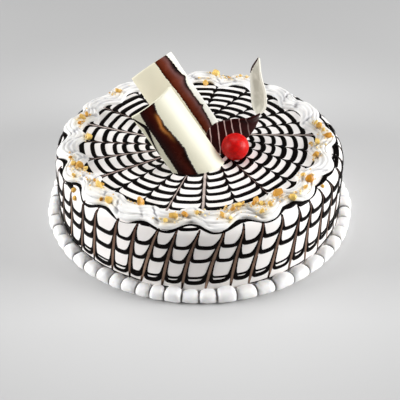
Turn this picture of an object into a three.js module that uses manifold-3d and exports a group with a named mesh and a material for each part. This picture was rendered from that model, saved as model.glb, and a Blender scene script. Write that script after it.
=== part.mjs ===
// Round iced cake with a piped ribbon on its rim, a ring of piped pearls at its foot,
// two curved chocolate sheets, one curled chocolate petal and a cherry on top.
// Millimetres, +Z up. The origin is the centre of the base; the front faces -Y.
import * as THREE from 'three';
import { mergeVertices } from 'three/addons/utils/BufferGeometryUtils.js';
import Module from 'manifold-3d';

const wasm = await Module();
wasm.setup();

// Cake body
const BODY_RADIUS = 100;
const BODY_HEIGHT = 55;
const EDGE_FILLET = 8;
const BODY_SEGMENTS = 76;
const FILLET_STEPS = 5;
const GAP = 0.3;

// Piped ribbon on the rim: a snake of cream that lies a little to the left, ruffled where it swings outward
const RIBBON_LOBES_DEG = [
  -193, -174, -155.8, -138.5, -120, -103, -83.5, -62.5, -42, -19, 4, 28.5, 48, 68, 88, 108, 127.5, 147.5,
];
// Notches between the lobes are narrower than the lobes; those after these lobes of the list are shallower
const NOTCH_SHARPNESS = 1.4;
const NOTCH_DEPTHS = { 3: 0.6, 4: 0.5 };
const RIBBON_STEPS_PER_LOBE = 8;
const RIBBON_MID_RADIUS = 87.6;
const RIBBON_SIDE_SHIFT = 1.8;
const RIBBON_SIDE_INSET = 0.75;
const RIBBON_SWING = 3.3;
const RIBBON_HALF_WIDTH = 7.8;
const RIBBON_HEIGHT = 4.3;
const RIBBON_LIFT = 0.3;
const RIBBON_DROOP = 2.4;
const RIBBON_SINK = 3;
const DROOP_START = 0.3;
const LIP_THICKNESS = 2;
const LIP_INSET = 0.93;
const UNDER_INSET = 0.45;
// Section of the ribbon from its inner foot to its outer lip: across, height
const RIBBON_PROFILE = [
  [-1, 0], [-0.87, 0.52], [-0.6, 0.9], [-0.15, 1], [0.3, 0.95], [0.6, 0.78], [0.8, 0.72], [1, 0.35],
];
// Hand-made unevenness round the ring: share of the size, waves per turn, start in radians
const HEIGHT_UNEVEN = [[0.07, 7, 0.4], [0.05, 11, 1.9]];
const WIDTH_UNEVEN = [[0.3, 4, 0]];

// Butterscotch nuggets pressed into the ribbon: angle in degrees, radius on the cake, size
const NUGGETS = [
  [167, 87.4, 1.8], [163, 87.5, 2.6], [160, 86.1, 1.9], [177, 77.4, 2.7], [134, 87, 2.2], [-165, 90.9, 1.7],
  [-159, 90.7, 2.4], [-157, 87.4, 2.8], [-155, 84.4, 1.9], [-152, 94.5, 1.6], [-143, 86.3, 1.5], [-139, 86.9, 3.3],
  [-140, 83.4, 1.8], [-132, 95, 1.4], [-129, 93, 3.0], [-118, 81.7, 3.6], [-103, 95.9, 1.8], [-100, 92.7, 2.8],
  [-96, 89.7, 2.1], [-91, 87.2, 1.4], [-81, 90.5, 2.1], [-78, 92.9, 1.5], [-78, 80.9, 1.4], [-76, 86, 1.8],
  [-73, 83.1, 2.5], [-70, 81.3, 1.4], [-66, 84.3, 2.0], [-65, 93.3, 2.0], [-63, 80.2, 2.9], [-63, 86.5, 1.8],
  [-60, 89.9, 2.1], [-53, 83.4, 3.0], [-49, 91, 2.4], [-41, 91.3, 1.6], [-35, 88.2, 2.6], [-34, 82, 1.9],
  [-14, 81.5, 2.6], [-4, 81.2, 2.3], [-4, 76.9, 1.5], [1, 89.3, 2.3], [6, 87.4, 1.8], [10, 85.6, 2.5],
  [13, 84.4, 1.6], [70, 90.5, 1.4], [75, 85.8, 1.4], [82, 91.5, 3.4], [87, 80.3, 3.4],
];
const NUGGET_SEED = 20417;
const NUGGET_SIDE_FALL = 0.45;
const NUGGET_STAND = 0.2;
// Least size and spread of a nugget's length, breadth, height and corners
const NUGGET_STRETCH = [[0.9, 0.5], [0.7, 0.4], [0.55, 0.3]];
const NUGGET_CORNER = [0.75, 0.5];

// Pearls piped round the foot: where each one in front starts, and how many go on round the back
const PEARL_STARTS_DEG = [
  -129.7, -123.8, -118.8, -113.1, -107.8, -102.6, -96.4, -90.2, -83.9, -77, -69.4, -62.4, -54.6, -46.9, -38.7, -31.6,
];
const PEARL_BACK_COUNT = 40;
const PEARL_STEPS = 6;
const PEARL_DEPTH = 8.6;
const PEARL_HEIGHT = 9.0;
const PEARL_WAIST = 0.7;
const PEARL_FULLNESS = 3;
const PEARL_UNEVEN = [[0.06, 1.7, 0.6], [0.04, 4.1, 0]];
// Section of a pearl from the foot of the cake outward and back: depth, height
const PEARL_PROFILE = [[0, 0], [0.66, 0], [1, 0.36], [0.86, 0.78], [0.42, 1], [0, 0.9]];

// Two curved chocolate sheets, each leaning to the left with its foot planted in the cake
const SHEET_THICKNESS = 2.2;
const SHEET_ACROSS_STEPS = 12;
const SHEET_ALONG_STEPS = 4;
const FRONT_SHEET = {
  topRight: [-19.3, -13.3, 108.2], along: [-0.557, 0.17, 0.813], across: [0.761, 0.498, 0.417],
  chord: 33.6, sagitta: 6.5, length: 70.4,
};
const BACK_SHEET = {
  topRight: [-20.0, 44.9, 102.2], along: [-0.562, 0.45, 0.694], across: [0.827, 0.321, 0.461],
  chord: 34.2, sagitta: 6.0, length: 74,
};

// Curled petal: a strip between an upper rim and a lower edge, both from tip to tip
const PETAL_THICKNESS = 1.3;
const PETAL_LENGTH_STEPS = 32;
const PETAL_WIDTH_STEPS = 4;
const PETAL_BULGE = 1.6;
const PETAL_TIP_INSET = 0.012;
const PETAL_SLOPE_STEP = 0.01;
const PETAL_RIM = [
  [40.6, 21.5, 111.2], [42.2, 14.0, 100.0], [45.6, 8.5, 87.5], [44.8, 4.5, 79.2], [34.0, -1.1, 75.6],
  [21.0, -0.9, 74.2], [9.4, -3.4, 72.0], [4.4, -8.0, 65.0], [14.6, -17.5, 56.2],
];
const PETAL_FOOT = [
  [40.6, 21.5, 111.2], [35.6, 22.3, 101.0], [35.6, 20.1, 87.0], [36.9, 15.7, 75.0], [40.8, 10.3, 69.4],
  [39.2, 5.7, 65.4], [33.6, -0.5, 59.8], [22.5, -8.5, 56.2], [14.6, -17.5, 56.2],
];

// Cherry
const CHERRY_RADIUS = 9.3;
const CHERRY_CENTRE = [24.1, -18.9, 64.0];
const CHERRY_SEGMENTS = 20;
const CHERRY_RINGS = 12;
const CHERRY_DIMPLE = 0.93;

// Points nearer than this are one corner
const MERGE_TOLERANCE = 1e-4;
// Linear congruential random numbers
const STREAM_FACTOR = 1664525;
const STREAM_STEP = 1013904223;
const STREAM_RANGE = 2 ** 32;

const radians = (degrees) => degrees * Math.PI / 180;
const smoothstep = (low, high, x) => {
  const t = Math.min(1, Math.max(0, (x - low) / (high - low)));
  return t * t * (3 - 2 * t);
};

// Repeatable random numbers between 0 and 1
function randomStream(seed) {
  let state = seed >>> 0;
  return () => {
    state = (Math.imul(state, STREAM_FACTOR) + STREAM_STEP) >>> 0;
    return state / STREAM_RANGE;
  };
}

function geometryFrom(points, triangles) {
  const geometry = new THREE.BufferGeometry();
  geometry.setAttribute('position', new THREE.Float32BufferAttribute(points.flat(), 3));
  geometry.setIndex(triangles.flat());
  return geometry;
}

function toSolid(geometry) {
  const bare = geometry.clone();
  bare.deleteAttribute('normal');
  bare.deleteAttribute('uv');
  const merged = mergeVertices(bare, MERGE_TOLERANCE);
  return new wasm.Manifold(new wasm.Mesh({
    numProp: 3,
    vertProperties: new Float32Array(merged.attributes.position.array),
    triVerts: new Uint32Array(merged.index.array),
  }));
}

function toGeometry(solid) {
  const mesh = solid.getMesh();
  const geometry = new THREE.BufferGeometry();
  const points = new Float32Array(mesh.numVert * 3);
  for (let i = 0; i < mesh.numVert; i += 1) {
    for (let k = 0; k < 3; k += 1) points[i * 3 + k] = mesh.vertProperties[i * mesh.numProp + k];
  }
  geometry.setAttribute('position', new THREE.BufferAttribute(points, 3));
  geometry.setIndex(new THREE.BufferAttribute(new Uint32Array(mesh.triVerts), 1));
  return geometry;
}

// Drops the loose scraps that a cut leaves
function largestPiece(solid) {
  return solid.decompose().sort((a, b) => b.volume() - a.volume())[0];
}

// The cake's outline grown by a clearance, turned about Z
function cakeSolid(grow) {
  const radius = BODY_RADIUS + grow;
  const height = BODY_HEIGHT + grow;
  const fillet = EDGE_FILLET + grow;
  const profile = [new THREE.Vector2(0, -grow), new THREE.Vector2(radius, -grow)];
  for (let i = 0; i <= FILLET_STEPS; i += 1) {
    const angle = (i / FILLET_STEPS) * Math.PI / 2;
    profile.push(new THREE.Vector2(
      radius - fillet + fillet * Math.cos(angle),
      height - fillet + fillet * Math.sin(angle),
    ));
  }
  profile.push(new THREE.Vector2(0, height));
  const turned = new THREE.LatheGeometry(profile, BODY_SEGMENTS);
  turned.rotateX(Math.PI / 2);
  return toSolid(turned);
}

// What rests on the cake is cut to this outline
const clearance = cakeSolid(GAP);

// Sum of slow waves: each term is its size, its rate and its start
const waves = (terms, x) => terms.reduce((sum, [size, rate, start]) => sum + size * Math.sin(rate * x + start), 0);

// Closed ring through a loop of sections that all have the same number of points
function loopSolid(sections) {
  const size = sections[0].length;
  const triangles = [];
  sections.forEach((section, s) => {
    const next = (s + 1) % sections.length;
    for (let k = 0; k < size; k += 1) {
      const up = (k + 1) % size;
      const corner = [s * size + k, s * size + up, next * size + up, next * size + k];
      triangles.push([corner[0], corner[3], corner[1]], [corner[1], corner[3], corner[2]]);
    }
  });
  return toSolid(geometryFrom(sections.flat(), triangles));
}

// How far the ribbon has swung outward at an angle: 1 on a lobe, -1 in a full notch between lobes
function ribbonSwing(degrees) {
  const first = RIBBON_LOBES_DEG[0];
  const place = first + (((degrees - first) % 360) + 360) % 360;
  const after = RIBBON_LOBES_DEG.filter((lobe) => lobe <= place).length;
  const start = RIBBON_LOBES_DEG[after - 1];
  const end = after < RIBBON_LOBES_DEG.length ? RIBBON_LOBES_DEG[after] : first + 360;
  const turn = 2 * Math.PI * (place - start) / (end - start);
  const notch = ((1 - Math.cos(turn)) / 2) ** NOTCH_SHARPNESS;
  return 1 - 2 * (NOTCH_DEPTHS[after - 1] ?? 1) * notch;
}

// The ribbon is narrower at the left and the right, where its lip stays farther in
const ribbonInset = (degrees) => RIBBON_SIDE_INSET * Math.cos(radians(degrees)) ** 2;

function ribbonMiddle(degrees) {
  const sideways = RIBBON_SIDE_SHIFT * Math.cos(radians(degrees)) + ribbonInset(degrees);
  return RIBBON_MID_RADIUS - sideways + RIBBON_SWING * ribbonSwing(degrees);
}

const ribbonHalfWidth = (degrees) => (
  RIBBON_HALF_WIDTH - ribbonInset(degrees) + waves(WIDTH_UNEVEN, radians(degrees))
);

// Point on the ribbon's upper skin; across runs from -1 at the inner foot to 1 at the outer lip
function ribbonPoint(degrees, across, rise) {
  const angle = radians(degrees);
  const uneven = 1 + waves(HEIGHT_UNEVEN, angle);
  const radius = ribbonMiddle(degrees) + ribbonHalfWidth(degrees) * across;
  const lobe = (1 + ribbonSwing(degrees)) / 2;
  const ruffle = smoothstep(DROOP_START, 1, across) * (RIBBON_DROOP * lobe - RIBBON_LIFT);
  return [radius * Math.cos(angle), radius * Math.sin(angle), BODY_HEIGHT + RIBBON_HEIGHT * uneven * rise - ruffle];
}

function ribbonSolid() {
  const sections = [];
  const lipRise = RIBBON_PROFILE[RIBBON_PROFILE.length - 1][1];
  RIBBON_LOBES_DEG.forEach((start, lobe) => {
    const end = RIBBON_LOBES_DEG[lobe + 1] ?? RIBBON_LOBES_DEG[0] + 360;
    for (let s = 0; s < RIBBON_STEPS_PER_LOBE; s += 1) {
      const degrees = start + (end - start) * s / RIBBON_STEPS_PER_LOBE;
      const section = RIBBON_PROFILE.map(([across, rise]) => ribbonPoint(degrees, across, rise));
      const lip = ribbonPoint(degrees, LIP_INSET, lipRise);
      const under = ribbonPoint(degrees, UNDER_INSET, 0);
      const foot = ribbonPoint(degrees, -1, 0);
      section.push([lip[0], lip[1], lip[2] - LIP_THICKNESS]);
      section.push([under[0], under[1], BODY_HEIGHT - RIBBON_DROOP - RIBBON_SINK]);
      section.push([foot[0], foot[1], BODY_HEIGHT - RIBBON_SINK]);
      sections.push(section.reverse());
    }
  });
  return loopSolid(sections);
}

// Angular crumb: an uneven twenty-sided lump
function nuggetSolid(centre, size, random) {
  const spread = ([least, range]) => least + range * random();
  const ball = new THREE.IcosahedronGeometry(1, 0);
  ball.deleteAttribute('normal');
  ball.deleteAttribute('uv');
  const lump = mergeVertices(ball, MERGE_TOLERANCE);
  const position = lump.attributes.position;
  const stretch = new THREE.Vector3(...NUGGET_STRETCH.map(spread));
  const turn = new THREE.Euler(2 * Math.PI * random(), 2 * Math.PI * random(), 2 * Math.PI * random());
  const corner = new THREE.Vector3();
  for (let i = 0; i < position.count; i += 1) {
    corner.fromBufferAttribute(position, i).multiply(stretch).multiplyScalar(size * spread(NUGGET_CORNER));
    corner.applyEuler(turn);
    position.setXYZ(i, corner.x + centre[0], corner.y + centre[1], corner.z + centre[2]);
  }
  return toSolid(lump);
}

function addNuggets(ribbon) {
  const random = randomStream(NUGGET_SEED);
  let solid = ribbon;
  NUGGETS.forEach(([degrees, radius, size]) => {
    const across = (radius - ribbonMiddle(degrees)) / ribbonHalfWidth(degrees);
    const seat = ribbonPoint(degrees, across, 1 - NUGGET_SIDE_FALL * across * across);
    seat[2] += NUGGET_STAND * size;
    solid = solid.add(nuggetSolid(seat, size, random));
  });
  return solid;
}

// Angles at which the pearls start, in order, closed by the first one a turn later
function pearlStarts() {
  const first = PEARL_STARTS_DEG[0];
  const last = PEARL_STARTS_DEG[PEARL_STARTS_DEG.length - 1];
  const step = (first + 360 - last) / PEARL_BACK_COUNT;
  const back = Array.from({ length: PEARL_BACK_COUNT }, (_, i) => last + step * (i + 1));
  return [...PEARL_STARTS_DEG, ...back];
}

// Pearls share a waist where they meet; each has its own size between its waists
function pearlRing() {
  const inner = BODY_RADIUS + GAP;
  const starts = pearlStarts();
  const sections = [];
  starts.slice(0, -1).forEach((start, index) => {
    for (let s = 0; s < PEARL_STEPS; s += 1) {
      const place = s / PEARL_STEPS;
      const across = Math.abs(2 * place - 1);
      const own = s === 0 ? 1 : 1 + waves(PEARL_UNEVEN, index);
      const scale = own * Math.sqrt(1 - (1 - PEARL_WAIST ** 2) * across ** PEARL_FULLNESS);
      const angle = radians(start + (starts[index + 1] - start) * place);
      sections.push(PEARL_PROFILE.map(([depth, height]) => {
        const radius = inner + PEARL_DEPTH * depth * scale;
        return [radius * Math.cos(angle), radius * Math.sin(angle), PEARL_HEIGHT * height * scale];
      }));
    }
  });
  return loopSolid(sections);
}

// Closed plate from a grid of skin points: front face, back face and four edges
function plateSolid(columns, rows, skin) {
  const points = [];
  const triangles = [];
  const at = (face, i, j) => face * (columns + 1) * (rows + 1) + j * (columns + 1) + i;
  for (let face = 0; face < 2; face += 1) {
    for (let j = 0; j <= rows; j += 1) {
      for (let i = 0; i <= columns; i += 1) points.push(skin(i / columns, j / rows, face));
    }
  }
  const quad = (a, b, c, d) => triangles.push([a, b, c], [a, c, d]);
  for (let j = 0; j < rows; j += 1) {
    for (let i = 0; i < columns; i += 1) {
      quad(at(0, i, j), at(0, i + 1, j), at(0, i + 1, j + 1), at(0, i, j + 1));
      quad(at(1, i, j + 1), at(1, i + 1, j + 1), at(1, i + 1, j), at(1, i, j));
    }
    quad(at(1, 0, j), at(0, 0, j), at(0, 0, j + 1), at(1, 0, j + 1));
    quad(at(0, columns, j), at(1, columns, j), at(1, columns, j + 1), at(0, columns, j + 1));
  }
  for (let i = 0; i < columns; i += 1) {
    quad(at(1, i, 0), at(1, i + 1, 0), at(0, i + 1, 0), at(0, i, 0));
    quad(at(0, i, rows), at(0, i + 1, rows), at(1, i + 1, rows), at(1, i, rows));
  }
  return toSolid(geometryFrom(points, triangles));
}

// Chocolate sheet bent round its length; grow widens it on every side for its slot
function sheetSolid(sheet, grow) {
  const along = new THREE.Vector3(...sheet.along).normalize();
  const across = new THREE.Vector3(...sheet.across);
  across.addScaledVector(along, -across.dot(along)).normalize();
  const outward = new THREE.Vector3().crossVectors(across, along);
  const half = sheet.chord / 2;
  const bend = (half * half + sheet.sagitta * sheet.sagitta) / (2 * sheet.sagitta);
  const sweep = Math.asin(half / bend);
  const extra = grow / bend;
  return plateSolid(SHEET_ACROSS_STEPS, SHEET_ALONG_STEPS, (u, v, face) => {
    const angle = (2 * u - 1) * (sweep + extra);
    const radius = bend + (face === 0 ? grow : -SHEET_THICKNESS - grow);
    const down = (1 - v) * (sheet.length + 2 * grow) - grow;
    const point = new THREE.Vector3(...sheet.topRight);
    point.addScaledVector(across, radius * Math.sin(angle) - half);
    point.addScaledVector(outward, radius * Math.cos(angle) - bend * Math.cos(sweep));
    point.addScaledVector(along, -down);
    return point.toArray();
  });
}

function petalSolid() {
  const curve = (list) => new THREE.CatmullRomCurve3(list.map((p) => new THREE.Vector3(...p)), false, 'centripetal');
  const rim = curve(PETAL_RIM);
  const foot = curve(PETAL_FOOT);
  const middle = (t, w) => {
    const place = PETAL_TIP_INSET + (1 - 2 * PETAL_TIP_INSET) * t;
    return foot.getPoint(place).lerp(rim.getPoint(place), w);
  };
  return plateSolid(PETAL_LENGTH_STEPS, PETAL_WIDTH_STEPS, (u, v, face) => {
    const point = middle(u, v);
    const run = middle(Math.min(1, u + PETAL_SLOPE_STEP), v).sub(middle(Math.max(0, u - PETAL_SLOPE_STEP), v));
    const width = middle(u, 1).sub(middle(u, 0));
    const inward = new THREE.Vector3().crossVectors(run, width).normalize();
    const swell = PETAL_BULGE * (1 - (2 * v - 1) ** 2) * Math.sin(Math.PI * u);
    const side = face === 0 ? PETAL_THICKNESS / 2 : -PETAL_THICKNESS / 2;
    return point.addScaledVector(inward, side - swell).toArray();
  });
}

function cherrySolid() {
  const profile = [new THREE.Vector2(0, -1)];
  for (let i = 1; i < CHERRY_RINGS; i += 1) {
    const angle = (i / CHERRY_RINGS) * Math.PI;
    profile.push(new THREE.Vector2(Math.sin(angle), -Math.cos(angle)));
  }
  profile.push(new THREE.Vector2(0, CHERRY_DIMPLE));
  const ball = new THREE.LatheGeometry(profile, CHERRY_SEGMENTS);
  ball.rotateX(Math.PI / 2);
  ball.scale(CHERRY_RADIUS, CHERRY_RADIUS, CHERRY_RADIUS);
  ball.translate(...CHERRY_CENTRE);
  return toSolid(ball).subtract(clearance);
}

const body = cakeSolid(0)
  .subtract(sheetSolid(FRONT_SHEET, GAP))
  .subtract(sheetSolid(BACK_SHEET, GAP));
const ribbon = largestPiece(addNuggets(ribbonSolid()).subtract(clearance));

const part = new THREE.Group();

function addNode(name, solid, color, roughness) {
  const material = new THREE.MeshStandardMaterial({ color, roughness, metalness: 0 });
  const mesh = new THREE.Mesh(toGeometry(solid), material);
  mesh.name = name;
  part.add(mesh);
}

addNode('cake_body', body, 0xece8e6, 0.45);
addNode('rim_ribbon', ribbon, 0xf2efe9, 0.5);
addNode('foot_pearls', pearlRing(), 0xf4f2ef, 0.5);
addNode('sheet_front', sheetSolid(FRONT_SHEET, 0), 0xf0ecd8, 0.3);
addNode('sheet_back', sheetSolid(BACK_SHEET, 0), 0xeae4cc, 0.3);
addNode('petal', petalSolid(), 0x2a1512, 0.35);
addNode('cherry', cherrySolid(), 0xc4120e, 0.25);

export default part;
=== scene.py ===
import math

import bmesh
import bpy
import numpy as np
from mathutils import Euler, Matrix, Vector, noise


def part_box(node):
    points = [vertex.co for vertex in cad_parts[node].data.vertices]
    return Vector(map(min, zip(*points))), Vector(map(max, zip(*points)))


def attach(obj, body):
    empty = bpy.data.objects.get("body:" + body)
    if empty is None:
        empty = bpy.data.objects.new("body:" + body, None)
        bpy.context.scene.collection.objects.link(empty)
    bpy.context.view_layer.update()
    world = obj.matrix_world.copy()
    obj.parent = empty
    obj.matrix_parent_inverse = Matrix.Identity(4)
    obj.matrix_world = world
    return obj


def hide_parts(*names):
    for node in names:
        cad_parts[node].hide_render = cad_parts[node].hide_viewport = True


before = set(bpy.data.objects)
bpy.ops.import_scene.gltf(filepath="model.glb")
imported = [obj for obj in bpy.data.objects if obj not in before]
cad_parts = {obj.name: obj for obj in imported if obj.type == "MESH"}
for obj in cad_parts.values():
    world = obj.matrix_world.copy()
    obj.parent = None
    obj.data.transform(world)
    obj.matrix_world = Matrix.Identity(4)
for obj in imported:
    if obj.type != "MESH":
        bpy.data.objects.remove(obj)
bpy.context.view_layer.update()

MM = 0.001
WHITE = (1.0, 1.0, 1.0)
BODY_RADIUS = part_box("cake_body")[1].x / MM
BODY_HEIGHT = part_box("cake_body")[1].z / MM
EDGE_FILLET = 8.0

# Icing mesh: points round it, and rows over the base, side, rounded edge and top
ICING_COLUMNS = 360
ICING_BASE_ROWS = 4
ICING_SIDE_ROWS = 26
ICING_EDGE_ROWS = 8
ICING_TOP_ROWS = 44
# Hand-smoothed unevenness of the icing: size, waves per turn, waves per millimetre outward, start
ICING_UNEVEN = [(0.22, 3, 0.04, 0.3), (0.14, 7, -0.09, 1.7), (0.08, 17, 0.16, 4.1)]

# Web of chocolate lines: domed section as share of the half width and of the height
LINE_SECTION = [(-1.0, 0.0), (-0.62, 0.78), (0.0, 1.0), (0.62, 0.78), (1.0, 0.0)]
LINE_SINK = 0.18
LINE_STEPS = 26
# Shares between which one line's width and drag depart from those of the others
LINE_SPREAD = (0.85, 1.15)
WEB_SEED = 311
# Smears are thinner than lines: section, height, strength of the streaks, and how the paleness falls from
# the middle to the edges: its start, its fall and the power of the way across
SMEAR_SECTION = [(-1.0, 0.0), (-0.8, 0.7), (-0.4, 1.0), (0.0, 1.0), (0.4, 1.0), (0.8, 0.7), (1.0, 0.0)]
SMEAR_HEIGHT = 0.12
SMEAR_STREAK = 0.25
SMEAR_PALE = (1.12, 1.2, 1.4)

# Rings and strokes on the top round the web's own middle. The rings wind inward on their way round: angle
# in degrees, how far out they lie there. Each stroke has its angle at the outer and at the inner radius,
# and drags the rings inward.
WEB_MIDDLE = (0.0, 4.5)
TOP_RING_STEP = 7.5
TOP_RING_COUNT = 14
TOP_WINDING = [(-180, 0.0), (-150, 1.4), (-110, 1.2), (-80, -1.0), (-48, -5.4), (-20, -6.9), (10, -9.3),
               (55, -12.3), (110, -15.5), (158, -17.0), (180, -15.0)]
TOP_WEB_INNER = 7.0
TOP_WEB_OUTER = 88.0
TOP_STROKE_RADII = (75.0, 42.0)
TOP_STROKE_STRAIGHT = 25.0
TOP_STROKES_DEG = [
    (-177.4, -171.6), (-160.8, -157.3), (-144.4, -140.6), (-131.2, -128.8), (-116.6, -112.0),
    (-103.8, -100.4), (-88.2, -85.0), (-72.8, -68.0), (-55.8, -51.8), (-40.6, -36.4), (-25.8, -21.0),
    (-11.8, -7.0), (3.8, 7.2), (17.4, 19.6), (30.4, 34.0), (46.0, 50.0), (61.4, 68.4), (79.4, 83.0),
    (96.5, 100.0), (111.5, 115.0), (126.8, 131.0), (149.2, 153.0), (167.0, 172.2),
]
# Half width of a line and of its tips, and how much broader the lines are behind: from a share of the way
# to the back, in full from another
TOP_HALF = 1.9
TOP_TIP = 0.5
TOP_BROADER_BEHIND = 0.25
TOP_BEHIND = (0.3, 0.9)
TOP_HEIGHT = 0.45
# Strokes drag the ends of the lines sharply and sag them gently, less so in cells narrower than the full one
TOP_DRAG = 7.0
TOP_DRAG_REACH = 0.5
TOP_SAG = 0.9
TOP_SAG_REACH = 2.2
TOP_THICKEN = 1.3
TOP_CELL_FULL = 9.0
TOP_JITTER = 0.5
TOP_LEAST_RADIUS = 1.0
# Smears along some strokes: number of the stroke, half width at the outer and the inner radius, paleness
TOP_SMEARS = [
    (0, 0.2, 0.5, 0.3), (1, 0.35, 1.1, 0.55), (2, 0.7, 1.0, 0.4), (5, 1.0, 0.3, 0.6), (6, 1.2, 1.1, 0.75),
    (8, 0.3, 0.3, 0.2), (12, 0.8, 0.9, 0.75), (21, 0.5, 0.4, 0.4), (22, 0.8, 1.0, 0.8),
]
# Radii between which the smears run, and how many times the half width in the list they are laid, so that
# they go on under the lines beside them
TOP_SMEAR_FROM = 12.0
TOP_SMEAR_TO = 88.0
TOP_SMEAR_STEPS = 40
TOP_SMEAR_SPREAD = 1.5
# Taper of a smear along its stroke: start and range of a half wave, and its power
TOP_SMEAR_TAPER = (0.06, 0.88, 0.4)
# Screen colours of a smear's edge, and of its middle without and with full paleness
TOP_SMEAR_EDGE = (96, 58, 50)
TOP_SMEAR_MIDDLES = ((120, 78, 66), (226, 214, 206))

# Rings and leaning strokes on the side; the strokes drag the rings upward. Levels are measured up the
# side and on over the rounded edge. Each stroke in front has its angle, in degrees right of the front,
# at the top, middle and foot levels.
STROKE_LEVELS = (50.0, 30.0, 10.0)
SIDE_STROKES_DEG = [
    (-58.5, -59.7, -61.6), (-49.5, -51.2, -53.1), (-42.0, -43.9, -45.1), (-32.0, -34.1, -35.4),
    (-24.1, -26.3, -27.4), (-15.7, -19.3, -22.2), (-8.9, -11.9, -14.0), (-0.8, -4.3, -6.4),
    (8.5, 4.9, 2.4), (16.0, 13.4, 11.7), (23.8, 21.2, 18.9), (32.2, 29.5, 27.0),
    (40.4, 38.2, 36.3), (46.6, 45.3, 44.7), (54.6, 53.8, 53.1), (62.0, 61.6, 61.0),
]
HIDDEN_STROKES = 28
HIDDEN_STROKE_LEAN_DEG = (2.2, 0.0, -1.8)
STROKE_JITTER_DEG = 1.0
SIDE_HALF = 1.5
SIDE_TIP = 0.55
SIDE_HEIGHT = 0.5
SIDE_DRAG_REACH = 0.5
# Sag as share of the drag, at the left and the right end of a cell, and where across the cell it has changed
SIDE_SAG_SHARES = (0.06, 0.19)
SIDE_SAG_TURN = 0.6
SIDE_SAG_REACH = 2.0
SIDE_THICKEN = 1.6
# The lines are broader at the cake's left and right: from a share of the way there, in full from another
SIDE_BROADER_BESIDE = 0.35
SIDE_BESIDE = (0.6, 0.95)
SIDE_JITTER = 0.5
# Level of each ring at the front and its rise from there to the right, its half width and drag, and the
# share of its cells that show it. The last ring, just above the pearls, is partly a chocolate line and partly
# painted shadow of the gap between the pearls and the side
SIDE_RINGS = [(40.9, 5.2, 1.8, 11.5, 1.0), (29.4, 5.3, 1.85, 12.0, 1.0), (12.2, 2.6, 1.75, 16.0, 1.0),
              (15.9, 2.8, 1.05, 9.0, 0.85), (54.0, 1.5, 1.3, 1.2, 0.6), (7.4, 0.0, 0.7, 0.5, 0.6)]
# Line close under the ribbon's lip, partly a chocolate line and partly the lip's painted shadow: its drop
# below the lip and its half width, under a lobe and between two, the waves in that half width and the least
# that it can be
LIP_LINE_STEPS = 720
LIP_LINE_DROPS = (0.2, 1.8)
LIP_LINE_HALVES = (0.7, 1.65)
LIP_LINE_UNEVEN = [(0.35, 13, 0.7), (0.25, 29, 2.1)]
LIP_LINE_THIN = 0.2
# Smear that is the core of each side stroke: half width, how far it goes on under the lines beside it, its
# levels, and its taper: start and range of a half wave, power of the way up, power of the wave
SIDE_CORE = 1.25
SIDE_CORE_UNDER = 0.4
SIDE_CORE_FOOT = 7.0
SIDE_CORE_TOP = 54.0
SIDE_CORE_STEPS = 30
SIDE_CORE_TAPER = (0.03, 0.94, 0.85, 0.7)
# Paleness of the cores: the power that makes pale ones rare, the least, and what a pale one and the foot add
SIDE_PALE_POWER = 1.5
SIDE_PALE_SHARES = (0.02, 0.35, 0.3)
# Screen colours of a core's edge, and of its middle without and with full paleness
SIDE_SMEAR_EDGE = (32, 13, 9)
SIDE_SMEAR_MIDDLES = ((76, 44, 33), (202, 168, 142))
# Dark tails at the foot of some strokes: levels, share of the strokes, half width with its spread and taper
SIDE_TAIL_FOOT = 6.5
SIDE_TAIL_TOP = 12.5
SIDE_TAIL_STEPS = 8
SIDE_TAIL_SHARE = 0.75
SIDE_TAIL_HALF = 0.75
SIDE_TAIL_SPREAD = (0.6, 1.3)
SIDE_TAIL_TAPER = (0.12, 0.9)

# Piped ribbon on the rim, as in the solid, with its grooves, folds and lumps
RIBBON_LOBES_DEG = [-193, -174, -155.8, -138.5, -120, -103, -83.5, -62.5, -42, -19, 4, 28.5, 48, 68, 88, 108,
                    127.5, 147.5]
# Notches between the lobes are narrower than the lobes; those after these lobes of the list are shallower
NOTCH_SHARPNESS = 1.4
NOTCH_DEPTHS = {3: 0.6, 4: 0.5}
RIBBON_STEPS_PER_LOBE = 44
RIBBON_COLUMNS = 44
RIBBON_MID_RADIUS = 87.6
RIBBON_SIDE_SHIFT = 1.8
RIBBON_SIDE_INSET = 0.75
RIBBON_SWING = 3.3
RIBBON_HALF_WIDTH = 7.8
RIBBON_HEIGHT = 4.3
RIBBON_LIFT = 0.3
RIBBON_DROOP = 2.4
RIBBON_SINK = 3.0
DROOP_START = 0.3
UNDER_INSET = 0.45
# Section of the ribbon from its inner foot to its outer lip: across, height
RIBBON_PROFILE = [
    (-1, 0), (-0.87, 0.52), (-0.6, 0.9), (-0.15, 1), (0.3, 0.95), (0.6, 0.78), (0.8, 0.72), (1, 0.35),
]
HEIGHT_UNEVEN = [(0.07, 7, 0.4), (0.05, 11, 1.9)]
WIDTH_UNEVEN = [(0.3, 4, 0)]
# Round of the lip: across, drop below the lip's edge
LIP_ROUND = [(1.015, 0.6), (1.0, 1.4), (0.93, 2.0)]
# Places across between which the relief is full; it fades out to the ribbon's two edges
RELIEF_FULL = (-0.75, 0.9)
# Groove by the lip: depth, place across and width
RIBBON_GROOVE = 0.9
RIBBON_GROOVE_AT = 0.68
RIBBON_GROOVE_WIDTH = 0.07
# Ridges along the ribbon: height, number, and how far and how fast they wander
RIBBON_RIDGE = 0.3
RIBBON_RIDGES = 1.9
RIBBON_RIDGE_WANDER = (0.06, 4)
# Lumps: height and size, and the share and size of finer ones among them
RIBBON_LUMP = 0.8
RIBBON_LUMP_SIZE = 8.0
RIBBON_FINE_LUMP = 0.35
RIBBON_FINE_SIZE = RIBBON_LUMP_SIZE / 2.4
# How far the cream has settled, and between which places across that fades in from the lip
RIBBON_SETTLE = 0.7
RIBBON_SETTLE_FADE = (0.7, 0.2)
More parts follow.
